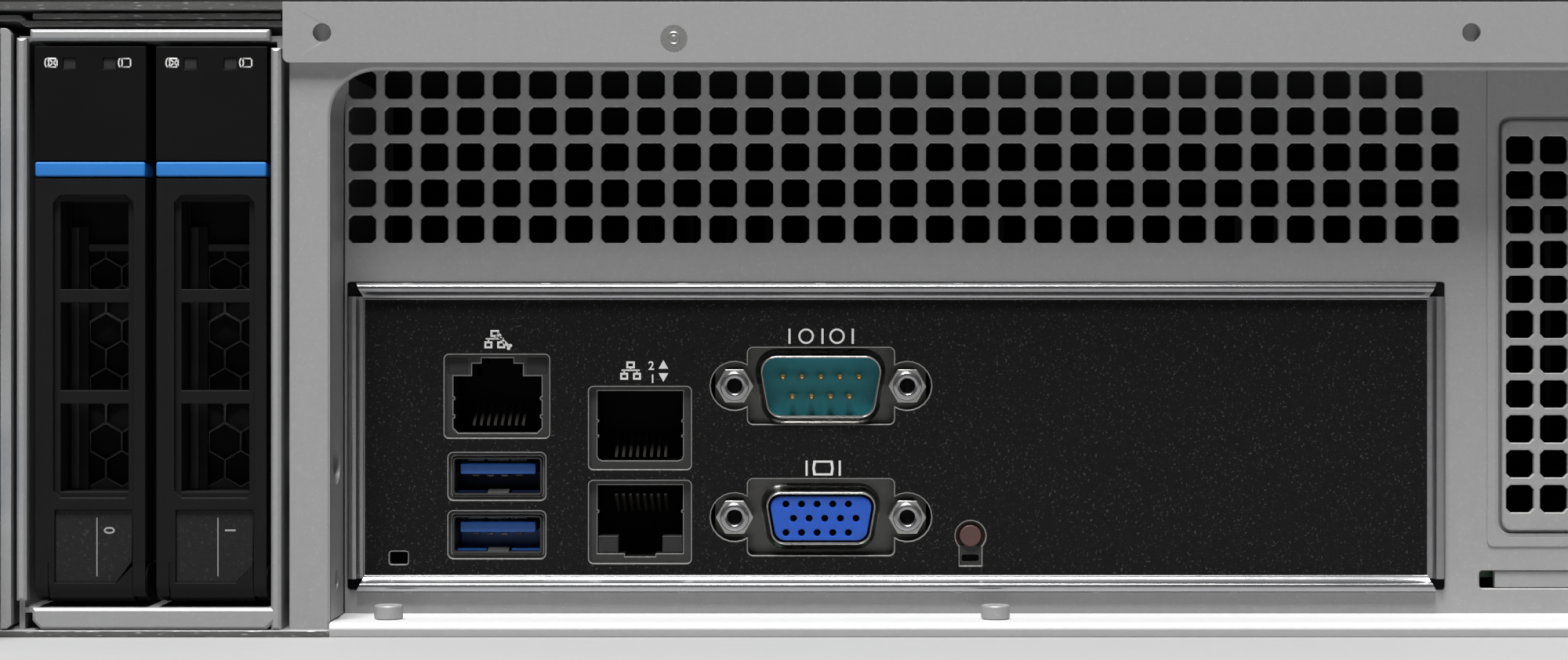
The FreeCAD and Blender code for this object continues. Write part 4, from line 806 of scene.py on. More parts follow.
@dataclass
class Casing:
    """The folded base, the two covers and what is fastened to them."""

    gauge: float = 1.0
    bend: float = 1.5
    lip_height: float = 8.5
    lip_left: float = -98.1
    hem_left: float = -133.4
    lip_corner: float = 0.9
    hole_drop: float = 4.3
    hole_radius: float = 1.3
    holes: tuple[float, float] = (-92.6, 68.1)
    stud: Point = (-43.4, 83.8)
    stud_radius: float = 1.8
    stud_teeth: int = 44
    tooth: float = 0.13

    def build(self) -> None:
        """Dress the base, the covers and the screws."""
        self.cut_sheet("chassis_base", 0.25)
        self.cover("rear_cover", "rear_cover", lip=True)
        self.cover("front_cover", "chassis", lip=False)
        self.cut_sheet("rear_brace", 0.12)
        fixed("fasteners", ZINC, 0.3, 3)
        self.clinch_stud()
        self.hem()

    @staticmethod
    def cut_sheet(node: str, width: float) -> None:
        """Dress a folded sheet whose cut edges look to the rear."""
        Carried(node, "chassis", ZINC, width, others=(RAW_EDGE,),
                pick=lambda face: int(face.normal.y < -0.9)).build()

    def hem(self) -> None:
        """Fold the rear cover's hem back under it beside the lip."""
        room = Box("rear_cover")
        blank = Blank("rear_cover_hem")
        blank.block((self.hem_left, self.lip_left - 0.4), (room.y[0] + 1.3, room.y[0] + 12.0),
                    (room.z[1] - 2.3, room.z[1] - 1.45))
        blank.bevelled(0.15, 2).done(RAW_EDGE, "rear_cover")

    def cover(self, node: str, body: str, lip: bool) -> None:
        """Fold a cover: its top, its two flanges and, at the rear, its lip.

        Args:
            node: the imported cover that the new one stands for.
            body: the body that carries it.
            lip: whether it has the folded lip over the rear panel.
        """
        room = Box(node)
        (left, right), (near, far), (low, top) = room.x, room.y, room.z
        gauge, bend = self.gauge, self.bend
        profile = [(left, low), *arc(left + bend, top - bend, bend, 180, 90),
                   *arc(right - bend, top - bend, bend, 90, 0), (right, low), (right - gauge, low),
                   *arc(right - bend, top - bend, bend - gauge, 0, 90, 3),
                   *arc(left + bend, top - bend, bend - gauge, 90, 180, 3), (left + gauge, low)]
        blank = Blank(f"{node}_sheet")
        start = near + (gauge if lip else 0.0)
        blank.plate(profile, start, far)
        if lip:
            corner = self.lip_corner
            foot = top - self.lip_height
            flap = [*arc(self.lip_left + corner, foot + corner, corner, 180, 270, 6), (right, foot),
                    (right, top - bend), *arc(right - bend, top - bend, bend, 0, 90), (self.lip_left, top)]
            holes = [circle(x, top - self.hole_drop, self.hole_radius) for x in self.holes]
            blank.plate(flap, near, start, holes)
            end = [(self.lip_left, top), (self.lip_left, top - gauge)]
            blank.plate(profile[:9] + end + profile[-5:], near, start)

            def on_flap(middle: Vector) -> bool:
                """Say whether an edge's middle lies on the lip's outline and not on a hole's."""
                off = min(math.hypot(middle.x - x, middle.z - top + self.hole_drop) for x in self.holes)
                return (middle.y < near + 0.1 and middle.x > self.lip_left - 0.05
                        and off > self.hole_radius + 0.1)

            blank.bevelled(0.4, 3, 50.0, on_flap)
            blank.bevelled(0.15, 2, 50.0, before(near))
        blank.painted(1, lambda face: face.normal.y < -0.9 and centre_mm(face).x < self.lip_left - 0.2
                      and centre_mm(face).y < near + 0.1)
        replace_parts(blank.done(ZINC, body, 40.0, (RAW_EDGE,)), node)

    def clinch_stud(self) -> None:
        """Press the knurled head of the clinched stud into the cover's lip."""
        face = Box("rear_cover").y[0]
        x, z = self.stud
        blank = Blank("clinch_stud_face")
        rim = [polar(x, z, self.stud_radius + self.tooth * (i % 2), 2 * math.pi * i / self.stud_teeth)
               for i in range(self.stud_teeth)]
        blank.plate(rim, face - 0.03, face + 0.05)
        blank.turned([(0.0, -0.09), (0.30, -0.12), (0.42, -0.05), (0.66, -0.05), (0.80, -0.12), (0.95, -0.04),
                      (1.25, -0.06), (1.45, -0.03), (1.45, 0.04), (0.0, 0.04)], (x, face, z))
        blank.outward().done(CUT_STEEL, "rear_cover", 25.0)


@dataclass
class RearWall:
    """The sunk panel with its grille, the ledge below it, the frame round it and the slot covers."""

    gauge: float = 1.0
    aperture: tuple[Span, Span] = ((-91.175, 67.575), (5.475, 49.925))
    grille_first: Point = (-89.05, 57.6)
    grille_pitch: float = 5.225
    grille_count: tuple[int, int] = (31, 4)
    hole: float = 4.0
    hole_cut: float = 0.62
    slot_first: float = 83.3
    slot_pitch: float = 20.32
    slot_count: int = 7
    field_half: float = 7.5
    field_z: Span = (14.0, 73.4)
    slot_hole_pitch: Point = (4.9, 5.045)
    slot_hole_low: float = 18.6
    slot_hole_rows: int = 11
    ledge_depth: float = 15.0
    bar_right: float = -91.7
    frame_top: float = 79.4
    frame_corner: float = 6.5
    return_holes: tuple[Point, Point] = ((24.2, 3.2), (7.5, 1.5))
    return_hole_y: float = -322.5
    return_foot: float = 2.05

    def build(self) -> None:
        """Dress the panel, the frame and the covers."""
        self.panel()
        self.ledge()
        self.joggle()
        self.opening_frame()
        self.slot_covers()

    def opening_frame(self) -> None:
        """Cut the upright bar and the top strip of the opening, with the bar's return to the panel."""
        room = Box("rear_frame")
        near, inner, top, radius = room.y[0], self.bar_right, self.frame_top, self.frame_corner
        corner = arc(inner + radius, top - radius, radius, 180, 90, 12)
        outline = [(room.x[0], room.z[0]), (inner, room.z[0]), *corner, (room.x[1], top),
                   (room.x[1], room.z[1]), (room.x[0], room.z[1])]
        blank = Blank("rear_frame_sheet").plate(outline, near, near + self.gauge)
        blank.bevelled(0.55, 4, 4.0, lambda middle: middle.y < near + TOUCH and inner - 0.05 < middle.x
                       and middle.z < top + 0.05 and middle.z > room.z[0] + 0.1)
        blank.bevelled(0.2, 2, 40.0, lambda middle: middle.y < near + TOUCH and middle.x < room.x[0] + 0.05)
        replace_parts(blank.done(ZINC, smooth=40.0), "rear_frame")
        self.frame_return(room, near + 0.3)

    def frame_return(self, room: Box, near: float) -> None:
        """Fold the bar's edge back to the panel, round the corner and out, with its two holes.

        Args:
            room: the frame's room.
            near: the y that the fold starts from.
        """
        inner, top, radius = self.bar_right, self.frame_top, self.frame_corner
        far = room.y[1]
        wall = Blank("rear_frame_return")
        side = inner - self.gauge
        holes = [[(side, y, z) for y, z in circle(self.return_hole_y, level, size, 24)]
                 for level, size in self.return_holes]
        wall.prism([(side, y, z) for y, z in rectangle((near, far), (self.return_foot, top - radius))],
                   (self.gauge, 0.0, 0.0), holes)
        outer = arc(inner + radius, top - radius, radius + self.gauge, 180, 128, 8)
        inside = arc(inner + radius, top - radius, radius, 180, 128, 8)
        flats = len(outer) - 1
        reach = [far - (far - near) * (step / flats) ** 2 * 0.96 for step in range(flats + 1)]
        wall.loft([[(x, near, z), (px, near, pz), (px, depth, pz), (x, depth, z)]
                   for (x, z), (px, pz), depth in zip(outer, inside, reach)])
        bmesh.ops.recalc_face_normals(wall.mesh, faces=wall.mesh.faces)
        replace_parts(wall.done(ZINC, smooth=40.0), "rear_frame")

    def slots(self) -> list[float]:
        """Give the middle of each expansion slot."""
        return [self.slot_first + self.slot_pitch * number for number in range(self.slot_count)]

    def grille(self) -> list[list[Point]]:
        """Give the outlines of the grille's holes, whose top row is one short.

        Returns:
            One outline for each hole.
        """
        columns, rows = self.grille_count
        left, low = self.grille_first
        return [octagon(left + self.grille_pitch * column, low + self.grille_pitch * row, self.hole,
                        self.hole_cut)
                for row in range(rows + 1) for column in range(columns - (row == rows))]

    def panel(self) -> None:
        """Punch the panel."""
        room = Box("rear_panel")
        near = room.y[1] - self.gauge
        windows = [rounded(*self.aperture, 0.5)]
        windows += [filleted(rectangle((x - 7.9, x + 7.9), (13.6, 73.8)), 1.6) for x in self.slots()]
        windows += [rounded((x - 10.7, x + 5.0), (5.6, 8.2), 0.5) for x in self.slots()]
        blank = Blank("rear_panel_sheet")
        blank.plate(rectangle(room.x, (self.gauge, room.z[1])), near, room.y[1], self.grille() + windows)
        blank.bevelled(0.14, 1, 40.0, before(near))
        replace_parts(blank.done(ZINC, smooth=30.0), "rear_panel")

    def ledge(self) -> None:
        """Fold the ledge below the panel, with a round front edge and a faint step along it."""
        room = Box("rear_panel")
        near = room.y[0]
        back = near + self.ledge_depth
        top = self.gauge * 2
        step, rise = top - 0.12, top + 0.25
        profile = [(near + 0.4, 0.05), *arc(near + 0.95, 1.05, 0.95, 180, 90, 8), (near + 5.6, top),
                   (near + 5.9, step), (near + 10.0, step), (near + 10.3, top), (back - 0.8, top),
                   (back - 0.5, rise), (back, rise), (back, self.gauge), (near + 1.0, self.gauge),
                   (near + 1.0, 0.05)]
        blank = Blank("rear_ledge_sheet")
        blank.prism([(room.x[0], y, z) for y, z in profile], (room.x[1] - room.x[0], 0.0, 0.0))
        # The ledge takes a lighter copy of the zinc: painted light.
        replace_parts(blank.outward().done(LEDGE_ZINC_PAINTED_LIGHT, smooth=50.0), "rear_panel")

    def joggle(self) -> None:
        """Raise the field of the panel that holds the slots by a hair."""
        room = Box("rear_panel")
        near = room.y[1] - self.gauge
        blank = Blank("rear_panel_joggle")
        windows = [rounded((x - 8.35, x + 8.35), (13.0, 74.4), 2.0) for x in self.slots()]
        blank.plate(rounded((73.7, room.x[1] - 0.5), (11.7, room.z[1] - 0.5), 0.8), near - 0.22, near + 0.02,
                    windows)
        blank.bevelled(0.2, 2, 50.0, lambda middle: middle.y < near - 0.2)
        blank.done(ZINC, smooth=30.0)

    def slot_covers(self) -> None:
        """Press the slot covers: a raised field full of holes, the sheet behind it and the toe."""
        back = Box("rear_panel").y[1]
        field_face = back - self.gauge - 0.4
        low, high = self.field_z
        pitch_x, pitch_z = self.slot_hole_pitch
        fields, sheets = Blank("slot_cover_fields"), Blank("slot_cover_sheets")
        for x in self.slots():
            half = self.field_half
            holes = [octagon(x + column * pitch_x, self.slot_hole_low + row * pitch_z, self.hole,
                             self.hole_cut)
                     for column in (-1, 0, 1) for row in range(self.slot_hole_rows)]
            within = ((x - half + 0.7, x + half - 0.7), (low + 0.7, high - 0.7))
            fields.plate(rounded((x - half, x + half), (low, high), 1.4), field_face, field_face + 0.8, holes)
            sheets.plate(rounded((x - half + 0.05, x + half - 0.05), (low + 0.05, high - 0.05), 1.4),
                         field_face + 0.7, back + 0.1, [rounded(*within, 1.0)])
            sheets.plate(rectangle((x - 9.1, x + 9.1), (low - 4.2, high + 4.6)), back, back + 0.8,
                         [rectangle(*within)])
            sheets.block((x - 8.4, x + 4.9), (back - self.gauge + 0.35, back - 0.1), (5.7, 8.1))
            sheets.block((x - 8.4, x + 4.9), (back - 0.2, back + 0.6), (5.7, 10.2))
        front = before(field_face)
        fields.bevelled(0.42, 3, 50.0, lambda middle: front(middle) and self.on_rim(middle, low, high))
        fields.bevelled(0.12, 1, 40.0, lambda middle: front(middle) and not self.on_rim(middle, low, high))
        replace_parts(fields.done(ZINC, smooth=30.0), "slot_covers")
        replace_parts(sheets.bevelled(0.12, 2).done(ZINC, smooth=30.0), "slot_covers")

    def on_rim(self, middle: Vector, low: float, high: float) -> bool:
        """Say whether a point lies on the outer rim of a slot cover's field."""
        x = min(self.slots(), key=lambda slot: abs(slot - middle.x))
        return abs(middle.x - x) > self.field_half - 0.45 or middle.z < low + 0.45 or middle.z > high - 0.45


@dataclass
class PortShield:
    """The port shield: its black face, the bright bead round it and the printed marks."""

    rim: tuple[Span, Span] = ((-91.175, 67.575), (5.475, 49.925))
    face: float = -315.9
    notch: float = 1.35
    foot_drop: float = 0.5
    dimple_pitch: float = 19.85
    dimple_y: Span = (-316.9, -316.1)
    bead: tuple[Point, ...] = (
        (0.08, -315.9), (0.08, -316.5), (0.22, -317.0), (0.55, -317.32), (0.95, -317.4), (1.3, -317.32),
        (1.5, -317.1), (1.75, -316.45), (2.25, -316.1), (2.45, -316.12), (2.55, -316.05), (2.6, -315.9))
    stack: Point = (-69.55, 33.4)
    lan: tuple[Point, Point] = ((-48.85, 28.8), (-48.85, 15.2))
    usb: tuple[Point, Point] = ((-69.55, 21.8), (-69.55, 13.35))
    ports: tuple[Point, Point] = ((-22.65, 34.9), (-22.65, 15.9))
    screw_spacing: float = 24.99
    locator: Point = (-1.0, 13.2)
    reset: Point = (-83.75, 10.1)

    def build(self) -> None:
        """Dress the shield and print its marks."""
        self.plate()
        self.beads()
        self.corners()
        self.locator_bracket()
        self.marks()

    def port_window(self, x: float, z: float) -> list[Point]:
        """Give the window of a nine or fifteen way port: an oblong with a round lobe at each side.

        Args:
            x: the port's middle.
            z: its middle height.

        Returns:
            The window's outline.
        """
        half, rise, lobe, reach = 10.55, 5.5, 3.46, self.screw_spacing / 2
        swing = math.degrees(math.acos((half - reach) / lobe))
        return mirrored(x, z, [*arc(half - 0.7, 0.7 - rise, 0.7, -90, 0, 4),
                               *arc(reach, 0.0, lobe, -swing, swing, 16),
                               *arc(half - 0.7, rise - 0.7, 0.7, 0, 90, 4)])

    def windows(self) -> list[list[Point]]:
        """Give every window in the shield's face.

        Returns:
            One outline for each window.
        """
        def around(middle: Point, width: float, height: float, radius: float) -> list[Point]:
            """Give a round-cornered window about a middle."""
            return rounded(*about(*middle, width / 2, height / 2), radius)

        x, z = self.locator
        keyhole = [(x - 1.55, z - 4.3), (x + 1.55, z - 4.3), *arc(x, z, 2.15, -43.9, 223.9, 24)]
        return [around(self.stack, 15.1, 12.0, 0.6),
                *(around(middle, 14.7, 11.9, 0.6) for middle in self.lan),
                *(around(middle, 14.0, 6.8, 0.7) for middle in self.usb),
                *(self.port_window(*middle) for middle in self.ports), keyhole,
                around((self.reset[0], self.reset[1] - 0.1), 2.6, 1.8, 0.3)]

    def plate(self) -> None:
        """Punch the shield's face, with pale edges round its windows."""
        (left, right), (low, high) = self.rim
        blank = Blank("io_shield_face")
        blank.plate(rectangle((left + 0.3, right - 0.3), (low + 0.3, high - 0.3)), self.face,
                    self.face + 0.7, self.windows())
        blank.bevelled(0.17, 2, 40.0, before(self.face))
        blank.painted(1, lambda face: face.normal.y > -0.999)
        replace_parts(blank.done(FILM, smooth=30.0, others=(CUT_EDGE,)), "io_shield")

    def beads(self) -> None:
        """Roll the four bright bars of the rim, each stopping short of the corners."""
        (left, right), (low, high) = self.rim
        blank = Blank("io_shield_beads")
        low -= self.foot_drop
        for level, inward in ((high, -1.0), (low, 1.0)):
            blank.loft([[(start + way * (self.notch + 0.45 * step), y, level + inward * step)
                         for step, y in self.bead] for start, way in ((left, 1.0), (right, -1.0))])
        for side, inward in ((left, 1.0), (right, -1.0)):
            blank.loft([[(side + inward * step, y, end + way * (self.notch + 0.75))
                         for step, y in self.bead] for end, way in ((low, 1.0), (high, -1.0))])
        blank.outward()
        for level, inward in ((high, -1.0), (low, 1.0)):
            x = left + 8.9
            while x < right - 4.0:
                blank.block((x - 0.7, x + 0.7), self.dimple_y,
                            tuple(sorted((level + inward * 0.03, level + inward * 0.4))))
                x += self.dimple_pitch
        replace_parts(blank.done(TIN, smooth=40.0), "io_shield")

    def corners(self) -> None:
        """Fill the four open corners of the rim with dark blocks: painted shade."""
        (left, right), (low, high) = self.rim
        blank = Blank("io_shield_corner_shade")
        for x in (left + 0.1, right - 2.2):
            for z in (low + 0.1, high - 2.2):
                blank.block((x, x + 2.1), (self.face - 0.12, self.face + 0.1), (z, z + 2.1))
        blank.done(DARK)

    def locator_bracket(self) -> None:
        """Hang the bracket behind the locator button's keyhole."""
        x, z = self.locator
        blank = Blank("locator_bracket")
        blank.plate(rounded((x - 2.2, x + 2.2), (z - 5.0, z - 1.4), 0.4), self.face + 0.75,
                    self.face + 1.2, [rounded((x - 1.25, x + 1.25), (z - 3.75, z - 2.75), 0.35)])
        blank.bevelled(0.1, 2).done(JACK_STEEL)
        # A dark block behind the bracket's slot: painted shade.
        dark = Blank("locator_slot_shade")
        dark.block((x - 1.5, x + 1.5), (self.face + 1.25, self.face + 1.4), (z - 4.0, z - 2.6)).done(DARK)

    def marks(self) -> None:
        """Print the plain pictures beside the ports."""
        ports = Print("port_marks", self.face)
        self.network(ports, -69.85, 41.7)
        self.spanner(ports)
        self.network(ports, -50.2, 37.15)
        ports.digit("2", -47.65, 37.25, 1.25)
        ports.digit("1", -47.45, 35.35, 1.25)
        ports.solid([(-46.15, 37.4), (-44.75, 37.4), (-45.45, 38.65)])
        ports.solid([(-46.15, 36.75), (-45.45, 35.5), (-44.75, 36.75)])
        for x in (-27.2, -22.43, -18.05):
            ports.stroke((x, 41.0), (x, 43.2), 0.3)
        for x in (-24.8, -20.33):
            ports.ring(x, 42.1, 1.12)
        ports.stroke((-24.73, 21.9), (-24.73, 24.1), 0.3).stroke((-19.93, 21.9), (-19.93, 24.1), 0.3)
        ports.outline([(-23.75, 21.95), (-20.95, 21.95), (-20.8, 23.0), (-20.95, 24.1), (-23.75, 24.1),
                       (-23.9, 23.0)], [(-23.4, 22.25), (-21.3, 22.25), (-21.15, 23.0), (-21.3, 23.8),
                                        (-23.4, 23.8), (-23.55, 23.0)])
        ports.done()

    def network(self, ports: Print, x: float, z: float) -> None:
        """Print three linked boxes about a centre.

        Args:
            ports: the print that it belongs to.
            x: its middle.
            z: its middle height.
        """
        ports.frame_of((x - 0.62, x + 0.62), (z + 0.3, z + 1.3))
        ports.frame_of((x - 1.5, x - 0.35), (z - 1.35, z - 0.35))
        ports.frame_of((x + 0.35, x + 1.5), (z - 1.35, z - 0.35))
        ports.stroke((x - 1.3, z + 0.03), (x + 1.3, z + 0.03), 0.22)
        for start, foot in ((x, z + 0.32), (x - 0.92, z - 0.37), (x + 0.92, z - 0.37)):
            ports.stroke((start, z + 0.03), (start, foot), 0.22)

    def spanner(self, ports: Print) -> None:
        """Print the spanner that lies over the first picture.

        Args:
            ports: the print that it belongs to.
        """
        ports.solid([(-69.45, 41.95), (-69.1, 42.2), (-67.75, 40.85), (-68.05, 40.55)])
        ports.outline([(-69.75, 42.05), (-69.2, 41.75), (-68.85, 42.25), (-69.35, 42.7)],
                      [(-69.55, 42.12), (-69.25, 41.98), (-69.07, 42.22), (-69.35, 42.45)])
        for middle in ((-67.85, 40.35), (-67.6, 40.75)):
            ports.solid(circle(*middle, 0.26, 10))


KEY_UP = ((5.7, -5.2), (6.38, -4.5), (6.38, -3.2), (6.12, -3.1), (6.12, -2.6), (6.38, -2.5),
          (6.38, -0.55), (6.12, -0.45), (6.12, 0.0), (6.38, 0.1), (6.38, 2.98), (3.66, 2.98),
          (3.66, 4.8), (2.27, 4.8), (2.27, 5.6))
"""The right half of the single jack's opening, with its stepped latch room at the top."""
PLAIN_JACK = ((5.5, -4.63), (5.98, -4.43), (6.2, -3.95), (6.2, -1.35), (5.95, -1.25), (5.95, -0.95),
              (6.2, -0.85), (6.2, 0.85), (5.95, 0.95), (5.95, 1.25), (6.2, 1.35), (6.2, 5.45))
"""The right half of the upper jack's opening."""
KEY_DOWN = ((2.2, -4.85), (2.2, -4.4), (6.18, -4.4), (6.18, 1.4), (5.93, 1.5), (5.93, 1.85), (6.18, 1.95),
            (6.18, 5.5))
"""The right half of the lower jack's opening, with its latch room at the foot."""


@dataclass
class NetworkJacks:
    """The three network jacks and the two USB ports."""

    stack: Point = (-69.55, 33.3)
    upper: Point = (-48.85, 28.7)
    lower: Point = (-48.85, 15.0)
    usb: tuple[Point, Point] = ((-69.55, 21.8), (-69.55, 13.35))
    face: float = -315.0
    depth: float = 12.0
    contact_pitch: float = 1.02
    usb_pitch: float = 2.1

    def build(self) -> None:
        """Dress the jacks."""
        sockets = [rounded(*about(*middle, 6.55, 2.85), 0.4) for middle in self.usb]
        self.housing("lan_usb_jack", [mirrored(*self.stack, KEY_UP), *sockets])
        self.housing("dual_lan_jack", [mirrored(*self.upper, PLAIN_JACK), mirrored(*self.lower, KEY_DOWN)])
        self.lamps()
        for number, middle in enumerate(self.usb):
            self.usb_port(number, middle)

    def housing(self, node: str, holes: Sequence[Sequence[Point]]) -> None:
        """Build a housing: the steel face, the dark plastic walls and the steel back.

        Args:
            node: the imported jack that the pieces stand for.
            holes: the openings in its face.
        """
        room = Box(node)
        outline = rectangle(room.x, room.z)
        face = Blank(f"{node}_face").plate(outline, self.face, self.face + 0.35, holes)
        face.bevelled(0.17, 2, 40.0, before(self.face))
        # The rounded edges of the openings take the lighter steel: painted highlight.
        face.painted(1, lambda item: item.normal.y > -0.99 and item.normal.y < -0.1)
        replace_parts(face.done(JACK_STEEL, smooth=30.0, others=(CUT_STEEL,)), node)
        walls = Blank(f"{node}_walls").plate(outline, self.face + 0.3, self.face + self.depth, holes)
        walls.painted(1, lambda item: room.x[0] + 0.1 < centre_mm(item).x < room.x[1] - 0.1
                      and room.z[0] + 0.1 < centre_mm(item).z < room.z[1] - 0.1)
        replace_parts(walls.done(CUT_STEEL, others=(DARK,)), node)
        back = Blank(f"{node}_back").block(room.x, (self.face + self.depth - 0.1, room.y[1]), room.z)
        back.bevelled(0.3).painted(1, lambda item: item.normal.y < -0.5)
        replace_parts(back.done(CUT_STEEL, others=(DARK,)), node)

    def lamps(self) -> None:
        """Set the dark lamp windows and the contacts of the jacks."""
        blank = Blank("jack_lamps")
        x, z = self.stack
        for left, right in ((-7.2, -4.3), (4.3, 7.2)):
            blank.block((x + left, x + right), (self.face - 0.06, self.face + 0.1), (z + 3.4, z + 5.65))
        x, z = self.lower
        for left, right in ((-6.1, -3.2), (3.2, 6.1)):
            blank.block((x + left, x + right), (self.face + 0.2, self.face + 4.0), (z - 4.3, z - 1.9))
        blank.bevelled(0.08, 1).done(LAMP_DARK)
        # The jack contacts take a finish darkened from gold: painted shade.
        wires = Blank("jack_contacts")
        for (x, z), way in ((self.stack, -1), (self.upper, -1), (self.lower, 1)):
            for step in range(8):
                left = x - 3.75 + step * self.contact_pitch
                rings = []
                for y, level in ((self.face + 1.6, 3.9), (self.face + 7.5, 1.2)):
                    heights = (z + way * level, z + way * (level + 0.3))
                    rings.append([(px, y, pz) for px, pz in rectangle((left, left + 0.4), heights)])
                wires.loft(rings)
        wires.outward().done(CONTACT_PAINTED_SHADE)

    def usb_port(self, number: int, middle: Point) -> None:
        """Line a USB port with steel and set its blue tongue.

        Args:
            number: 0 for the upper port and 1 for the lower.
            middle: the port's middle.
        """
        x, z = middle
        near = self.face - 0.35
        liner = Blank(f"usb_shell_{number}")
        liner.plate(rounded(*about(x, z, 6.5, 2.8), 0.5), near, near + 9.0,
                    [rounded(*about(x, z, 6.2, 2.5), 0.35)])
        liner.bevelled(0.09, 2, 40.0, before(near))
        liner.done(SHELL_STEEL, smooth=30.0)
        leaves = Blank(f"usb_springs_{number}")
        for left, right in ((-4.3, -1.95), (-1.45, 1.6), (1.9, 4.2)):
            self.spring(leaves, (x + left, x + right), z + 2.5, z + 2.05, near)
        self.spring(leaves, (x - 1.45, x + 1.6), z - 2.5, z - 1.95, near)
        leaves.outward().done(NICKEL, smooth=30.0)
        tongue = Blank(f"usb_tongue_{number}")
        tongue.block((x - 5.5, x + 5.5), (near + 1.1, near + 9.3), (z + 0.25, z + 1.85)).bevelled(0.25, 2)
        tongue.done(USB_BLUE)
        # The port's floor and back take darker copies of the tongue's blue: painted shade, deeper in the
        # upper port.
        pads = Blank(f"usb_floor_{number}")
        pads.block((x - 6.1, x + 6.1), (near + 8.6, near + 9.2), (z - 2.4, z + 2.4))
        for left, right in ((-6.0, -1.75), (1.9, 6.0)):
            pads.block((x + left, x + right), (near + 2.0, near + 8.7), (z - 2.45, z - 2.15))
        pads.done(USB_BLUE_DIM if number else USB_BLUE_PAINTED_SHADE)
        # The USB contacts take a finish darkened from gold: painted shade.
        teeth = Blank(f"usb_contacts_{number}")
        for step in range(4):
            left = x - 3.75 + step * self.usb_pitch
            teeth.block((left, left + 1.0), (near + 1.3, near + 6.0), (z - 0.05, z + 0.27))
        teeth.bevelled(0.08, 1).done(CONTACT_PAINTED_SHADE)

    @staticmethod
    def spring(liner: Blank, x: Span, root: float, tip: float, near: float) -> None:
        """Bend a spring leaf in from a USB port's shell.

        Args:
            liner: the shell that it is part of.
            x: its left and right.
            root: the height of the wall that it starts from.
            tip: the height that it reaches.
            near: the y of the shell's mouth.
        """
        thin = 0.12 if root > tip else -0.12
        liner.loft([[(px, y, pz) for px, pz in rectangle(x, (level, level + thin))]
                    for y, level in ((near + 0.1, root), (near + 2.2, tip), (near + 5.5, root))])


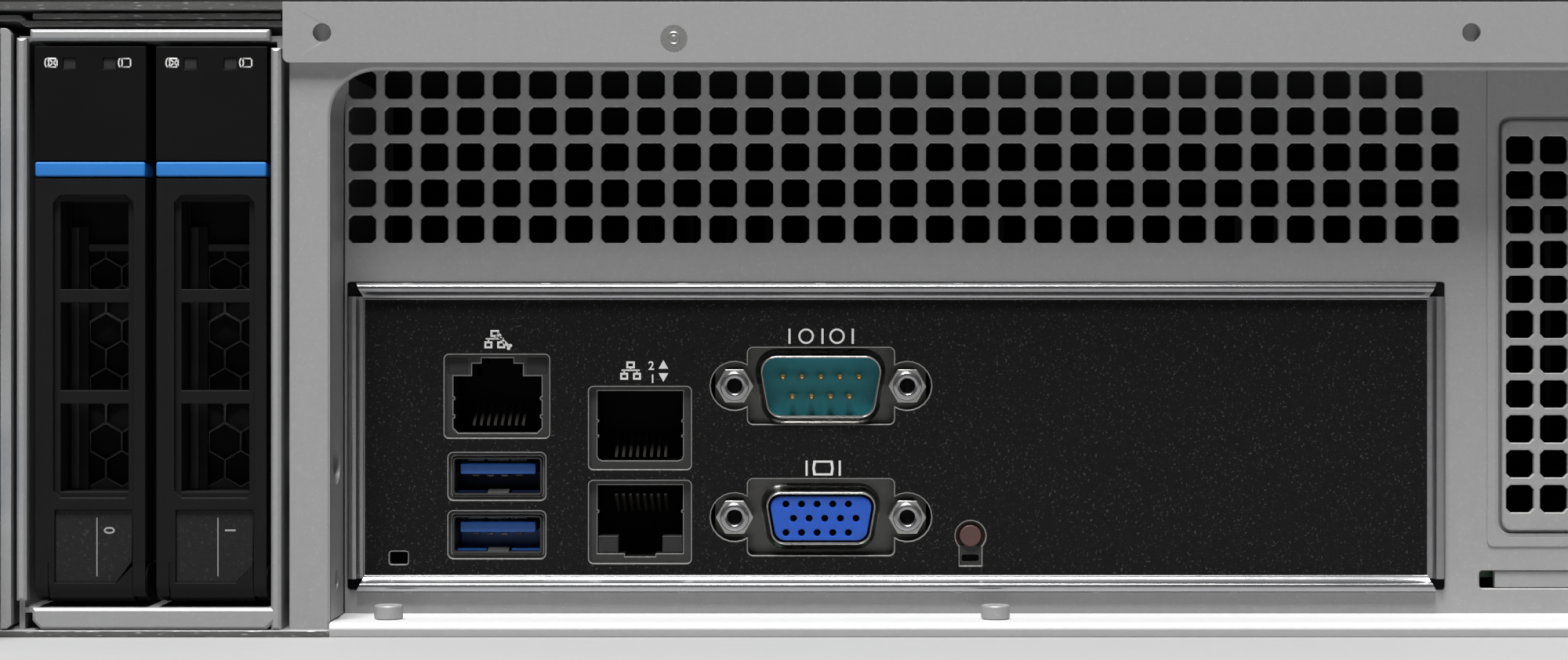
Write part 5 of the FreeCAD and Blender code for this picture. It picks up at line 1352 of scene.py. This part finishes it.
@dataclass
class WedgePorts:
    """The serial and the video port with their hex posts."""

    x: float = -22.65
    flange: float = -311.2
    mouth: float = -316.6
    video_face: float = -316.2
    screw_spacing: float = 24.99
    posts: tuple[float, float] = (34.9, 15.9)
    post_face: float = -316.0
    pin_pitch: float = 2.75
    hole_pitch: Point = (2.26, 2.06)

    def build(self) -> None:
        """Dress the two ports."""
        self.serial(34.75)
        self.video(15.75)
        fixed("jackscrews", NICKEL, 0.18)
        self.post_rings()

    def shell(self, node: str, z: float, half: float, rise: float, radius: float) -> None:
        """Draw a port's shell out of its dished flange.

        Args:
            node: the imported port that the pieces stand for.
            z: the port's middle height.
            half: half of the shell's width at its top.
            rise: half of its height.
            radius: the rounding of its corners.
        """
        def outline(grow: float) -> list[Point]:
            """Give the shell's outline, grown all round."""
            return wedge(self.x, z, half + grow, rise + grow, radius + max(grow, -0.5))

        room, flange, mouth = Box(node), self.flange, self.mouth
        plate = Blank(f"{node}_flange")
        plate.plate(rounded(room.x, (max(z - 6.2, room.z[0]), z + 6.2), 0.8), flange, flange + 0.5,
                    [outline(0.9)])
        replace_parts(plate.done(DISHED, smooth=30.0), node)
        dish = Blank(f"{node}_shell")
        dish.collar([(outline(grow), y) for grow, y in (
            (1.0, flange), (0.55, flange - 0.15), (0.2, flange - 0.6), (0.0, flange - 1.4),
            (0.0, mouth + 0.25), (-0.07, mouth + 0.06), (-0.2, mouth), (-0.33, mouth + 0.06),
            (-0.4, mouth + 0.25), (-0.4, flange + 0.3), (1.0, flange + 0.3))])
        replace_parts(dish.outward().done(NICKEL, smooth=50.0), node)
        housing = Blank(f"{node}_housing")
        housing.block(room.x, (flange + 0.45, room.y[1]), room.z)
        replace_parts(housing.bevelled(0.3).done(BLACK), node)

    def serial(self, z: float) -> None:
        """Build the nine way port: a teal floor with two rows of gold pins.

        Args:
            z: the port's middle height.
        """
        self.shell("serial_port", z, 9.2, 4.55, 2.3)
        floor = self.flange - 1.2
        Blank("serial_insert").plate(wedge(self.x, z, 8.8, 4.2, 1.9), floor, self.flange + 0.4).done(TEAL)
        pins = Blank("serial_pins")
        for count, level in ((5, z + 1.42), (4, z - 1.42)):
            for step in range(count):
                x = self.x + (step - (count - 1) / 2) * self.pin_pitch
                pins.turned([(0.0, -4.3), (0.22, -4.2), (0.42, -3.8), (0.47, -3.4), (0.47, 0.2), (0.0, 0.2)],
                            (x, floor, level), 14)
        pins.outward().done(GOLD)

    def video(self, z: float) -> None:
        """Build the fifteen way port: a blue block with three rows of holes.

        Args:
            z: the port's middle height.
        """
        self.shell("vga_port", z, 8.35, 3.85, 2.1)
        face = self.video_face
        pitch_x, pitch_z = self.hole_pitch
        holes = [circle(self.x + (column - 2) * pitch_x + (-0.55 if row else 0.55), z + row * pitch_z,
                        0.5, 14) for row in (-1, 0, 1) for column in range(5)]
        block = wedge(self.x, z, 7.6, 3.2, 1.6)
        insert = Blank("video_insert").plate(block, face, face + 2.4, holes)
        insert.bevelled(0.12, 2, 40.0, before(face))
        insert.done(VIDEO_BLUE, smooth=30.0)
        # A dark block behind the insert, seen through its holes: painted shade.
        Blank("video_hole_shade").plate(block, face + 2.3, self.flange + 0.3).done(DARK)

    def post_rings(self) -> None:
        """Turn the bright ring of each hex post, and set a dark rod in its bore: painted shade."""
        rings, bore_shade = Blank("post_rings"), Blank("post_bore_shade")
        for z in self.posts:
            for x in (self.x - self.screw_spacing / 2, self.x + self.screw_spacing / 2):
                rings.turned([(1.08, 0.3), (1.08, -0.1), (1.22, -0.28), (1.45, -0.36), (1.8, -0.3),
                              (2.05, -0.12), (2.15, 0.05), (2.15, 0.3)], (x, self.post_face, z))
                bore_shade.rod((x, self.post_face + 1.0, z), 1.12, 0.6)
        rings.outward().done(TIN, smooth=50.0)
        bore_shade.done(DARK)


@dataclass
class RearBay:
    """The rear cage with its two small trays."""

    centres: tuple[float, float] = (-125.1, -108.15)
    face: float = -329.5
    window_shift: float = 0.4
    window_half: float = 4.75
    window_z: Span = (20.3, 61.05)
    comb_y: Span = (-322.4, -321.4)
    comb_hole: float = 4.2
    comb_pitch: Point = (4.54, 3.92)
    comb_top: float = 55.0
    rib: Span = (-4.3, -1.8)
    rib_top: float = 57.7
    bar_z: Span = (54.2, 55.2)
    pivot: Point = (-326.5, 7.5)
    handle_half: float = 7.68
    knuckle_half: float = 5.95
    label_z: Span = (7.6, 17.8)
    picture_z: Span = (79.72, 81.1)

    def build(self) -> None:
        """Dress the cage and what slides in it."""
        fixed("rear_drive_cage", ZINC, 0.3, 3)
        for number, x in enumerate(self.centres):
            for part, finish, width in (("tray", SATIN_BLACK, 0.18), ("handle", BLACK, 0.16),
                                        ("release", BLUE, 0.25)):
                moving(f"rear_{part}_{number}", finish, width)
            for dress in (self.comb, self.rails, self.lamps, self.pictures, self.label, self.skirt):
                dress(number, x)
        Bare(["rear_drive_0", "rear_drive_1"], DRIVE).build()

    def comb(self, number: int, x: float) -> None:
        """Set the black comb of six-sided holes behind a tray's window.

        Args:
            number: the tray.
            x: its middle.
        """
        (low, high), top, edge, half = self.window_z, self.comb_top, 0.12, self.comb_hole / 2
        left, right = x + self.window_shift - self.window_half, x + self.window_shift + self.window_half
        step_x, step_z = self.comb_pitch
        holes = []
        for row in range(12):
            z = low - 1.0 + row * step_z
            for column in range(-2, 3):
                middle = x + 0.5 + (column + (row % 2) * 0.5) * step_x
                if left + 0.8 - half < middle < right - 0.8 + half and low - 0.6 < z < top:
                    hexagon = circle(middle, z, self.comb_hole / math.sqrt(3), 6, 30.0)
                    holes.append([(min(max(px, left + edge), right - edge),
                                   min(max(pz, low + edge), top - edge)) for px, pz in hexagon])
        near, far = self.comb_y
        blank = Blank(f"comb_{number}").plate(rectangle((left, right), (low, top)), near, far, holes)
        blank.bevelled(0.16, 2, 40.0, before(near))
        # The rounded edges of the holes take a lighter finish: painted highlight.
        blank.painted(1, lambda item: -0.99 < item.normal.y < -0.1)
        blank.done(COMB, f"rear_tray_{number}", 30.0, (COMB_PAINTED_HIGHLIGHT,))
        # A dark block behind the comb, seen through its holes and above it: painted shade.
        dark = Blank(f"comb_back_{number}").block((left, right), (far, far + 0.6), (low, high))
        dark.done(DARK, f"rear_tray_{number}")

    def skirt(self, number: int, x: float) -> None:
        """Carry a handle's face down over the eyes beside its knuckle.

        Args:
            number: the tray.
            x: its middle.
        """
        outer = arc(*self.pivot, 2.98, 180.0, 218.0, 6)
        inner = arc(*self.pivot, 2.72, 218.0, 180.0, 6)
        outline = [(outer[0][0], 10.6)] + outer + inner + [(inner[-1][0], 10.6)]
        skirt = Blank(f"handle_skirt_{number}")
        for start, end in ((-self.handle_half, -self.knuckle_half), (self.knuckle_half, self.handle_half)):
            skirt.prism([(x + start, y, z) for y, z in outline], (end - start, 0.0, 0.0))
        skirt.done(BLACK, f"rear_handle_{number}", 30.0)

    def rails(self, number: int, x: float) -> None:
        """Set the rib, with its left half painted lit and its right half in painted shade, and the dim cross
        bar in front of a tray's comb.

        Args:
            number: the tray.
            x: its middle.
        """
        near, foot = self.comb_y[0], self.window_z[0]
        low, high = (x + side for side in self.rib)
        left, right = x + self.window_shift - self.window_half, x + self.window_shift + self.window_half
        middle, back = (low + high) / 2, near + 0.05
        height = (foot, self.rib_top)
        # The rib's left half is lighter and its right half darker: painted light and painted shade on one
        # rib.
        rib = Blank(f"comb_rib_{number}").block((low, middle), (near - 0.9, back), height)
        rib.bevelled(0.2, 2).done(RIB, f"rear_tray_{number}")
        shade = Blank(f"comb_rib_shade_{number}").block((middle, high), (near - 0.7, back), height)
        shade.done(SATIN_BLACK, f"rear_tray_{number}")
        bar = Blank(f"comb_bar_{number}")
        for start, end in ((left, low), (high, right)):
            bar.block((start + 0.05, end - 0.05), (near - 0.6, back), self.bar_z)
        bar.bevelled(0.15, 2).done(RIB, f"rear_tray_{number}")

    def lamps(self, number: int, x: float) -> None:
        """Set the dark panes of a tray's two lamps in their recesses.

        Args:
            number: the tray.
            x: its middle.
        """
        top = Box(f"rear_tray_{number}").z[1]
        panes = Blank(f"tray_lamps_{number}")
        for left in (-3.85, 1.75):
            panes.block((x + left + 0.02, x + left + 1.78), (self.face + 0.25, self.face + 0.7),
                        (top - 3.18, top - 1.62))
        panes.bevelled(0.1, 2).done(LAMP_DARK, f"rear_tray_{number}")

    def pictures(self, number: int, x: float) -> None:
        """Print the two drive pictures beside a tray's lamps.

        Args:
            number: the tray.
            x: its middle.
        """
        marks = Print(f"tray_marks_{number}", self.face, f"rear_tray_{number}", 0.2)
        low, high = self.picture_z
        for left in (x - 6.45, x + 3.85):
            right, middle, end = left + 1.9, (low + high) / 2, left + 0.38
            marks.ring(end, middle, (high - low) / 2, 0.52)
            for z in (low + 0.1, high - 0.1):
                marks.stroke((end, z), (right, z))
            marks.stroke((right - 0.1, low), (right - 0.1, high))
        left, right = x - 5.75, x - 4.65
        marks.stroke((left, low + 0.2), (right, high - 0.2)).stroke((left, high - 0.2), (right, low + 0.2))
        marks.done()

    def label(self, number: int, x: float) -> None:
        """Line the label field, rule it and print the tray's number.

        Args:
            number: the tray.
            x: its middle.
        """
        low, high = self.label_z
        floor = self.face + 0.5
        plate = Blank(f"label_field_{number}")
        left, right = x + self.window_shift - 5.35, x + self.window_shift + 5.35
        plate.plate([(left, low + 0.05), (right - 2.3, low + 0.05), (right, low + 2.4), (right, high - 0.05),
                     (left, high - 0.05)], floor - 0.08, floor + 0.02)
        plate.bevelled(0.04, 1).done(FIELD, f"rear_handle_{number}")
        marks = Print(f"label_marks_{number}", floor - 0.08, f"rear_handle_{number}", 0.16)
        marks.stroke((x + 0.85, low + 0.9), (x + 0.85, high - 1.1), 0.14)
        marks.digit(str(number), x + 3.3, high - 3.4, 1.5, turned=True)
        marks.done(DIM_PRINT)


@dataclass
class Supplies:
    """The two power supplies with their cage, fan guards and latches."""

    case_left: float = -211.4
    floors: tuple[float, float] = (2.1, 43.5)
    guard_radii: tuple[float, ...] = (16.0, 12.6, 9.2, 5.8)
    guard_wire: float = 1.0
    face: float = -330.0
    spoke: Span = (5.8, 17.6)
    spoke_foot: float = 17.4
    fan_at: Point = (50.0, 20.0)
    blades: int = 7
    blade_spread: float = 0.30
    blade_y: float = -326.0

    def build(self) -> None:
        """Dress the supplies."""
        fixed("psu_cage", ZINC, 0.2)
        for number, floor in enumerate(self.floors, start=1):
            case = f"psu_{number}"
            Carried(case, case, ZINC, 0.35, others=(BLACK, DARK), pick=self.slot_of).build()
            moving(f"{case}_latch", BLUE, 0.4)
            self.guard(case, floor)
            self.fan(case, floor)
            self.inlet(case, floor)
            self.labels(case, floor)

    @staticmethod
    def slot_of(face: bmesh.types.BMFace) -> int:
        """Say which finish a face of the case has: black on the handle, and painted shade on the walls of the
        openings.

        Args:
            face: a face of the case.

        Returns:
            The place of its finish among the three.
        """
        depth = centre_mm(face).y
        if depth < -330.05:
            return 1
        # The walls of the openings take the dark finish: painted shade.
        return 2 if -329 < depth < -305 and abs(face.normal.y) < 0.5 else 0

    def guard(self, case: str, floor: float) -> None:
        """Weld the wire guard over a supply's fan.

        Args:
            case: the supply's node.
            floor: the height of its underside.
        """
        x, z = self.case_left + self.fan_at[0], floor + self.fan_at[1]
        radius = self.guard_wire / 2
        wires = Blank(f"{case}_guard")
        for ring in self.guard_radii:
            profile = [(ring - radius, 0.0), (ring - radius * 0.6, -radius * 0.8),
                       (ring + radius * 0.2, -radius), (ring + radius, -radius * 0.3),
                       (ring + radius, 0.35), (ring - radius, 0.35)]
            wires.turned(profile, (x, self.face - 0.6, z), 28)
        for step in range(4):
            angle = math.radians(45 + 90 * step)
            start, end = (polar(x, z, reach, angle) for reach in self.spoke)
            wires.plate(strip(start, end, self.guard_wire), self.face - 0.65, self.face - 0.05)
            foot = polar(x, z, self.spoke_foot, angle)
            wires.rod((foot[0], self.face - 0.4, foot[1]), 1.5, 0.9, segments=14)
        wires.outward().done(NICKEL, case, 45.0)

    def fan(self, case: str, floor: float) -> None:
        """Set the still blades behind a supply's guard.

        Args:
            case: the supply's node.
            floor: the height of its underside.
        """
        x, z = self.case_left + self.fan_at[0], floor + self.fan_at[1]
        fan = Blank(f"{case}_blades")
        for step in range(self.blades):
            angle = 2 * math.pi * step / self.blades
            rings = []
            for radius, swing, depth in ((8.5, 0.0, 1.9), (11.5, 0.10, 2.1), (15.6, 0.24, 2.4)):
                ring = []
                for side in (-1, 1):
                    px, pz = polar(x, z, radius, angle + swing + side * self.blade_spread)
                    ring.append((px, self.blade_y + side * depth / 2, pz))
                rings.append(ring + [(px, y + 0.6, pz) for px, y, pz in reversed(ring)])
            fan.loft(rings)
        fan.outward().done(BLACK, case)
        badge = Blank(f"{case}_hub").rod((x, self.face + 1.4, z), 8.7, 1.4, segments=32)
        badge.bevelled(0.4, 2).done(BLACK, case)

    def inlet(self, case: str, floor: float) -> None:
        """Line a supply's mains inlet with black plastic.

        Args:
            case: the supply's node.
            floor: the height of its underside.
        """
        left, low = self.case_left + 6.0, floor + 10.0
        corners, hole = ([(left + x, low + z) for x, z in outline] for outline in (
            ((-1.2, -1.2), (25.2, -1.2), (25.2, 14.0), (21.5, 17.2), (2.5, 17.2), (-1.2, 14.0)),
            ((0.3, 0.3), (23.7, 0.3), (23.7, 12.3), (20.4, 15.7), (3.6, 15.7), (0.3, 12.3))))
        inlet = Blank(f"{case}_inlet").plate(corners, self.face - 0.7, self.face + 0.8, [hole])
        inlet.bevelled(0.3, 2).done(BLACK, case)

    def labels(self, case: str, floor: float) -> None:
        """Set the lamp and the bare sticker on a supply's face.

        Args:
            case: the supply's node.
            floor: the height of its underside.
        """
        lens = Blank(f"{case}_lamp")
        lens.rod((self.case_left + 66.0, self.face - 0.2, floor + 34.5), 1.4, 0.8, segments=20)
        lens.bevelled(0.3, 3).done(LENS, case)
        sticker = Blank(f"{case}_sticker")
        outline = rounded((self.case_left + 4.0, self.case_left + 30.0), (floor + 29.5, floor + 36.5), 0.6)
        sticker.plate(outline, self.face - 0.12, self.face + 0.02)
        sticker.done(STICKER, case)


@dataclass
class FrontBays:
    """The front cage, its eight trays and the rack ears."""

    columns: int = 4
    rows: int = 2
    first: Point = (-159.9, 2.6)
    pitch: Point = (106.6, 29.6)
    tray: Point = (104.6, 27.6)
    plane: float = 326.0
    comb_hole: float = 4.2
    comb_pitch: Point = (5.2, 4.5)

    def build(self) -> None:
        """Dress the front."""
        fixed("front_drive_cage", ZINC, 0.15, 1)
        for number in range(1, self.columns * self.rows + 1):
            row, column = divmod(number - 1, self.columns)
            left = self.first[0] + column * self.pitch[0] - self.tray[0] / 2
            low = self.first[1] + row * self.pitch[1]
            self.tray_front(number, left, low)
        for node in ("rack_ear_left", "rack_ear_right"):
            fixed(node, PAINT, 0.35)
        self.power()

    def tray_front(self, number: int, left: float, low: float) -> None:
        """Dress one tray.

        Args:
            number: the tray, from 1.
            left: its left edge.
            low: its foot.
        """
        body, grip = f"front_tray_{number}", f"front_handle_{number}"
        right, top = left + self.tray[0], low + self.tray[1]

        def is_drive(face: bmesh.types.BMFace) -> int:
            """Say whether a face is part of the drive in the tray."""
            middle = centre_mm(face)
            return int(left + 1.41 < middle.x < right - 1.41 and middle.y < self.plane - 11.0)

        Carried(body, body, PAINT, 0.25, others=(DRIVE,), pick=is_drive).build()
        moving(grip, BLACK, 0.3)
        holes = []
        step_x, step_z = self.comb_pitch
        size = self.comb_hole / math.sqrt(3)
        for line in range(-1, 2):
            for column in range(14):
                x = left + 21.5 + column * step_x + (line % 2) * step_x / 2
                if x < right - 14.5:
                    holes.append(circle(x, (low + top) / 2 + line * step_z, size, 6, 30.0))
        comb = Blank(f"{body}_comb")
        comb.plate(rectangle((left + 17.0, right - 11.0), (low + 6.0, top - 6.0)), self.plane - 3.9,
                   self.plane - 3.3, holes)
        comb.bevelled(0.1, 1, 40.0, lambda point: point.y > self.plane - 3.4).done(COMB, body, 30.0)
        latch = Blank(f"{grip}_latch")
        latch.block((left + 12.8, left + 16.6), (self.plane + 2.6, self.plane + 3.7), (low + 8.5, top - 8.5))
        latch.bevelled(0.5, 3).done(BLUE, grip)
        lamps = Blank(f"{body}_lamps")
        for level in (low + 8.0, low + 14.5):
            lamps.rod((left + 6.0, self.plane + 2.9, level), 1.1, 0.7, segments=18)
        lamps.bevelled(0.25, 2).done(LAMP_DARK, body)
        marks = Blank(f"{body}_plate")
        marks.plate(rounded((left + 2.5, left + 9.5), (top - 8.0, top - 3.0), 0.5), self.plane + 2.95,
                    self.plane + 3.1)
        marks.done(STICKER, body)

    def power(self) -> None:
        """Dress the power button and print its ring and stroke."""
        moving("power_button", BLACK, 0.4, 3)
        room = Box("power_button")
        x, z = Box.middle(room.x), Box.middle(room.z)
        face = room.y[1]
        mark = Blank("power_mark")
        for outline in ([*arc(x, z, 2.2, 125, 415, 24), *reversed(arc(x, z, 1.8, 125, 415, 24))],
                        rectangle((x - 0.2, x + 0.2), (z + 0.7, z + 2.6))):
            mark.plate(outline, face - 0.02, face + 0.03)
        mark.outward().done(PRINT, "power_button")


@dataclass
class Inside:
    """What stands in the chassis: the board, the memory, the heatsinks and the fans."""

    board_top: float = 8.6
    socket_first: float = 83.3
    socket_pitch: float = 20.32
    socket_count: int = 7
    socket_y: Span = (-267.0, -184.0)
    # The room of a dark sheet behind the front vents: painted shade.
    shade_sheet: tuple[Span, Span, Span] = ((-212.0, 212.0), (323.4, 324.4), (63.1, 87.0))
    can_first: Point = (-72.0, -100.0)
    can_pitch: Point = (7.0, 96.0)
    can_radius: float = 2.4
    can_height: float = 7.0
    chips: tuple[tuple[float, float, float, float, float], ...] = (
        (-78.0, -250.0, 9.0, 9.0, 2.0), (-60.0, -262.0, 6.0, 6.0, 1.5), (-45.0, -245.0, 12.0, 5.0, 1.4),
        (-80.0, -220.0, 14.0, 8.0, 2.4), (52.0, -280.0, 8.0, 8.0, 1.6), (62.0, -255.0, 10.0, 10.0, 2.2),
        (40.0, -262.0, 5.0, 9.0, 1.5), (-84.0, -60.0, 6.0, 30.0, 8.0), (-84.0, -15.0, 6.0, 22.0, 8.0))

    def build(self) -> None:
        """Dress the inner pieces."""
        Bare(["motherboard", "backplanes"], BOARD).build()
        # A dark sheet behind the front vents keeps the inside dark through the grille: painted shade.
        Blank("front_vent_shade_sheet").block(*self.shade_sheet).done(DARK)
        Bare(["memory_modules"], CHIP).build()
        # The heatsinks take darkened aluminium: painted shade.
        Bare(["cpu_heatsinks"], ALUMINIUM_PAINTED_SHADE).build()
        Bare(["fan_wall"], BLACK).build()
        fixed("expansion_sockets", CHIP, 0.3)
        fixed("air_shroud", BLACK, 0.5)
        for number in range(1, 5):
            moving(f"fan_rotor_{number}", BLACK, 0.3, 1)
        moving("uid_button", BUTTON, 0.25, 3)
        self.small_parts()

    def small_parts(self) -> None:
        """Solder chips, capacitors and coils to the board."""
        chips = Blank("board_chips")
        for x, y, width, length, height in self.chips:
            chips.block((x - width / 2, x + width / 2), (y - length / 2, y + length / 2),
                        (self.board_top - 0.02, self.board_top + height))
        chips.bevelled(0.2, 1).done(CHIP)
        cans = Blank("board_capacitors")
        for row in range(2):
            for step in range(8):
                place = (self.can_first[0] + step * self.can_pitch[0],
                         self.can_first[1] + row * self.can_pitch[1] + (step % 2) * 2.0,
                         self.board_top + self.can_height / 2)
                cans.rod(place, self.can_radius, self.can_height, Axis.Z, segments=12)
        # The capacitors take darkened aluminium: painted shade.
        cans.bevelled(0.3, 1).done(ALUMINIUM_PAINTED_SHADE)
        # Dark strips on the sockets' tops stand for the card slots: painted shade.
        slots = Blank("socket_slot_shade")
        top = Box("expansion_sockets").z[1]
        for number in range(self.socket_count):
            x = self.socket_first + number * self.socket_pitch
            slots.block((x - 0.9, x + 0.9), self.socket_y, (top - 0.02, top + 0.05))
        slots.done(DARK)


# ------------------------------------------------------------------------------------- studio


@dataclass
class Studio:
    """The floor, the soft lamps and the camera."""

    camera_x: float = -28.0
    camera_z: float = 43.0
    distance: float = 400.0
    lens: float = 65.7
    world: float = 0.03
    floor_half: float = 6.0
    aim: Place = (0.0, -0.3, 0.04)
    lamps: tuple[tuple[str, Place, float, float], ...] = (
        ("key", (-0.2, -1.15, 2.05), 0.8, 100.0), ("top", (0.0, 0.5, 2.6), 2.2, 22.0),
        ("front", (0.7, 2.3, 1.3), 1.4, 46.0), ("left", (-2.4, 0.3, 0.9), 1.2, 12.0),
        ("right", (2.4, 0.3, 0.9), 1.2, 12.0))

    def build(self) -> None:
        """Set the floor, the light and the camera."""
        self.floor()
        self.light()
        self.camera()

    def floor(self) -> None:
        """Lay the pale floor."""
        mesh = bmesh.new()
        bmesh.ops.create_grid(mesh, x_segments=2, y_segments=2, size=self.floor_half)
        data = bpy.data.meshes.new("floor")
        mesh.to_mesh(data)
        mesh.free()
        data.materials.append(FLOOR.material())
        placed("floor", data)

    def light(self) -> None:
        """Hang the soft lamps and set the pale surroundings."""
        world = bpy.data.worlds.new("studio")
        world.use_nodes = True
        back = world.node_tree.nodes["Background"]
        back.inputs["Color"].default_value = (*grey(1.0), 1.0)
        back.inputs["Strength"].default_value = self.world
        bpy.context.scene.world = world
        for name, place, size, power in self.lamps:
            self.lamp(name, place, size, power)

    def lamp(self, name: str, place: Place, size: float, power: float) -> None:
        """Hang a square lamp that looks at the rear of the server.

        Args:
            name: the lamp's name.
            place: where it hangs, in metres.
            size: the side of its square, in metres.
            power: its power in watts.
        """
        data = bpy.data.lights.new(name, "AREA")
        data.size = size
        data.energy = power
        lamp = placed(name, data)
        lamp.location = place
        lamp.rotation_euler = (Vector(self.aim) - Vector(place)).to_track_quat("-Z", "Y").to_euler()

    def camera(self) -> None:
        """Set the camera square on to the rear, close to it."""
        data = bpy.data.cameras.new("camera")
        data.lens = self.lens
        data.sensor_width = 36.0
        data.clip_start = 0.01
        camera = placed("camera", data)
        rear = Box("rear_cover").y[0]
        camera.location = Vector((self.camera_x, rear - self.distance, self.camera_z)) * MM
        camera.rotation_euler = (math.radians(90), 0.0, 0.0)
        bpy.context.scene.camera = camera


def main() -> None:
    """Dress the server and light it."""
    logging.basicConfig(level=logging.INFO, format="%(name)s: %(message)s")
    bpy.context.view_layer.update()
    for part in (Casing(), RearWall(), PortShield(), NetworkJacks(), WedgePorts(), RearBay(), Supplies(),
                 FrontBays(), Inside(), Studio()):
        LOG.info("building %s", type(part).__name__)
        part.build()
    bpy.context.scene.view_settings.view_transform = "Standard"


if __name__ == "__main__":
    main()
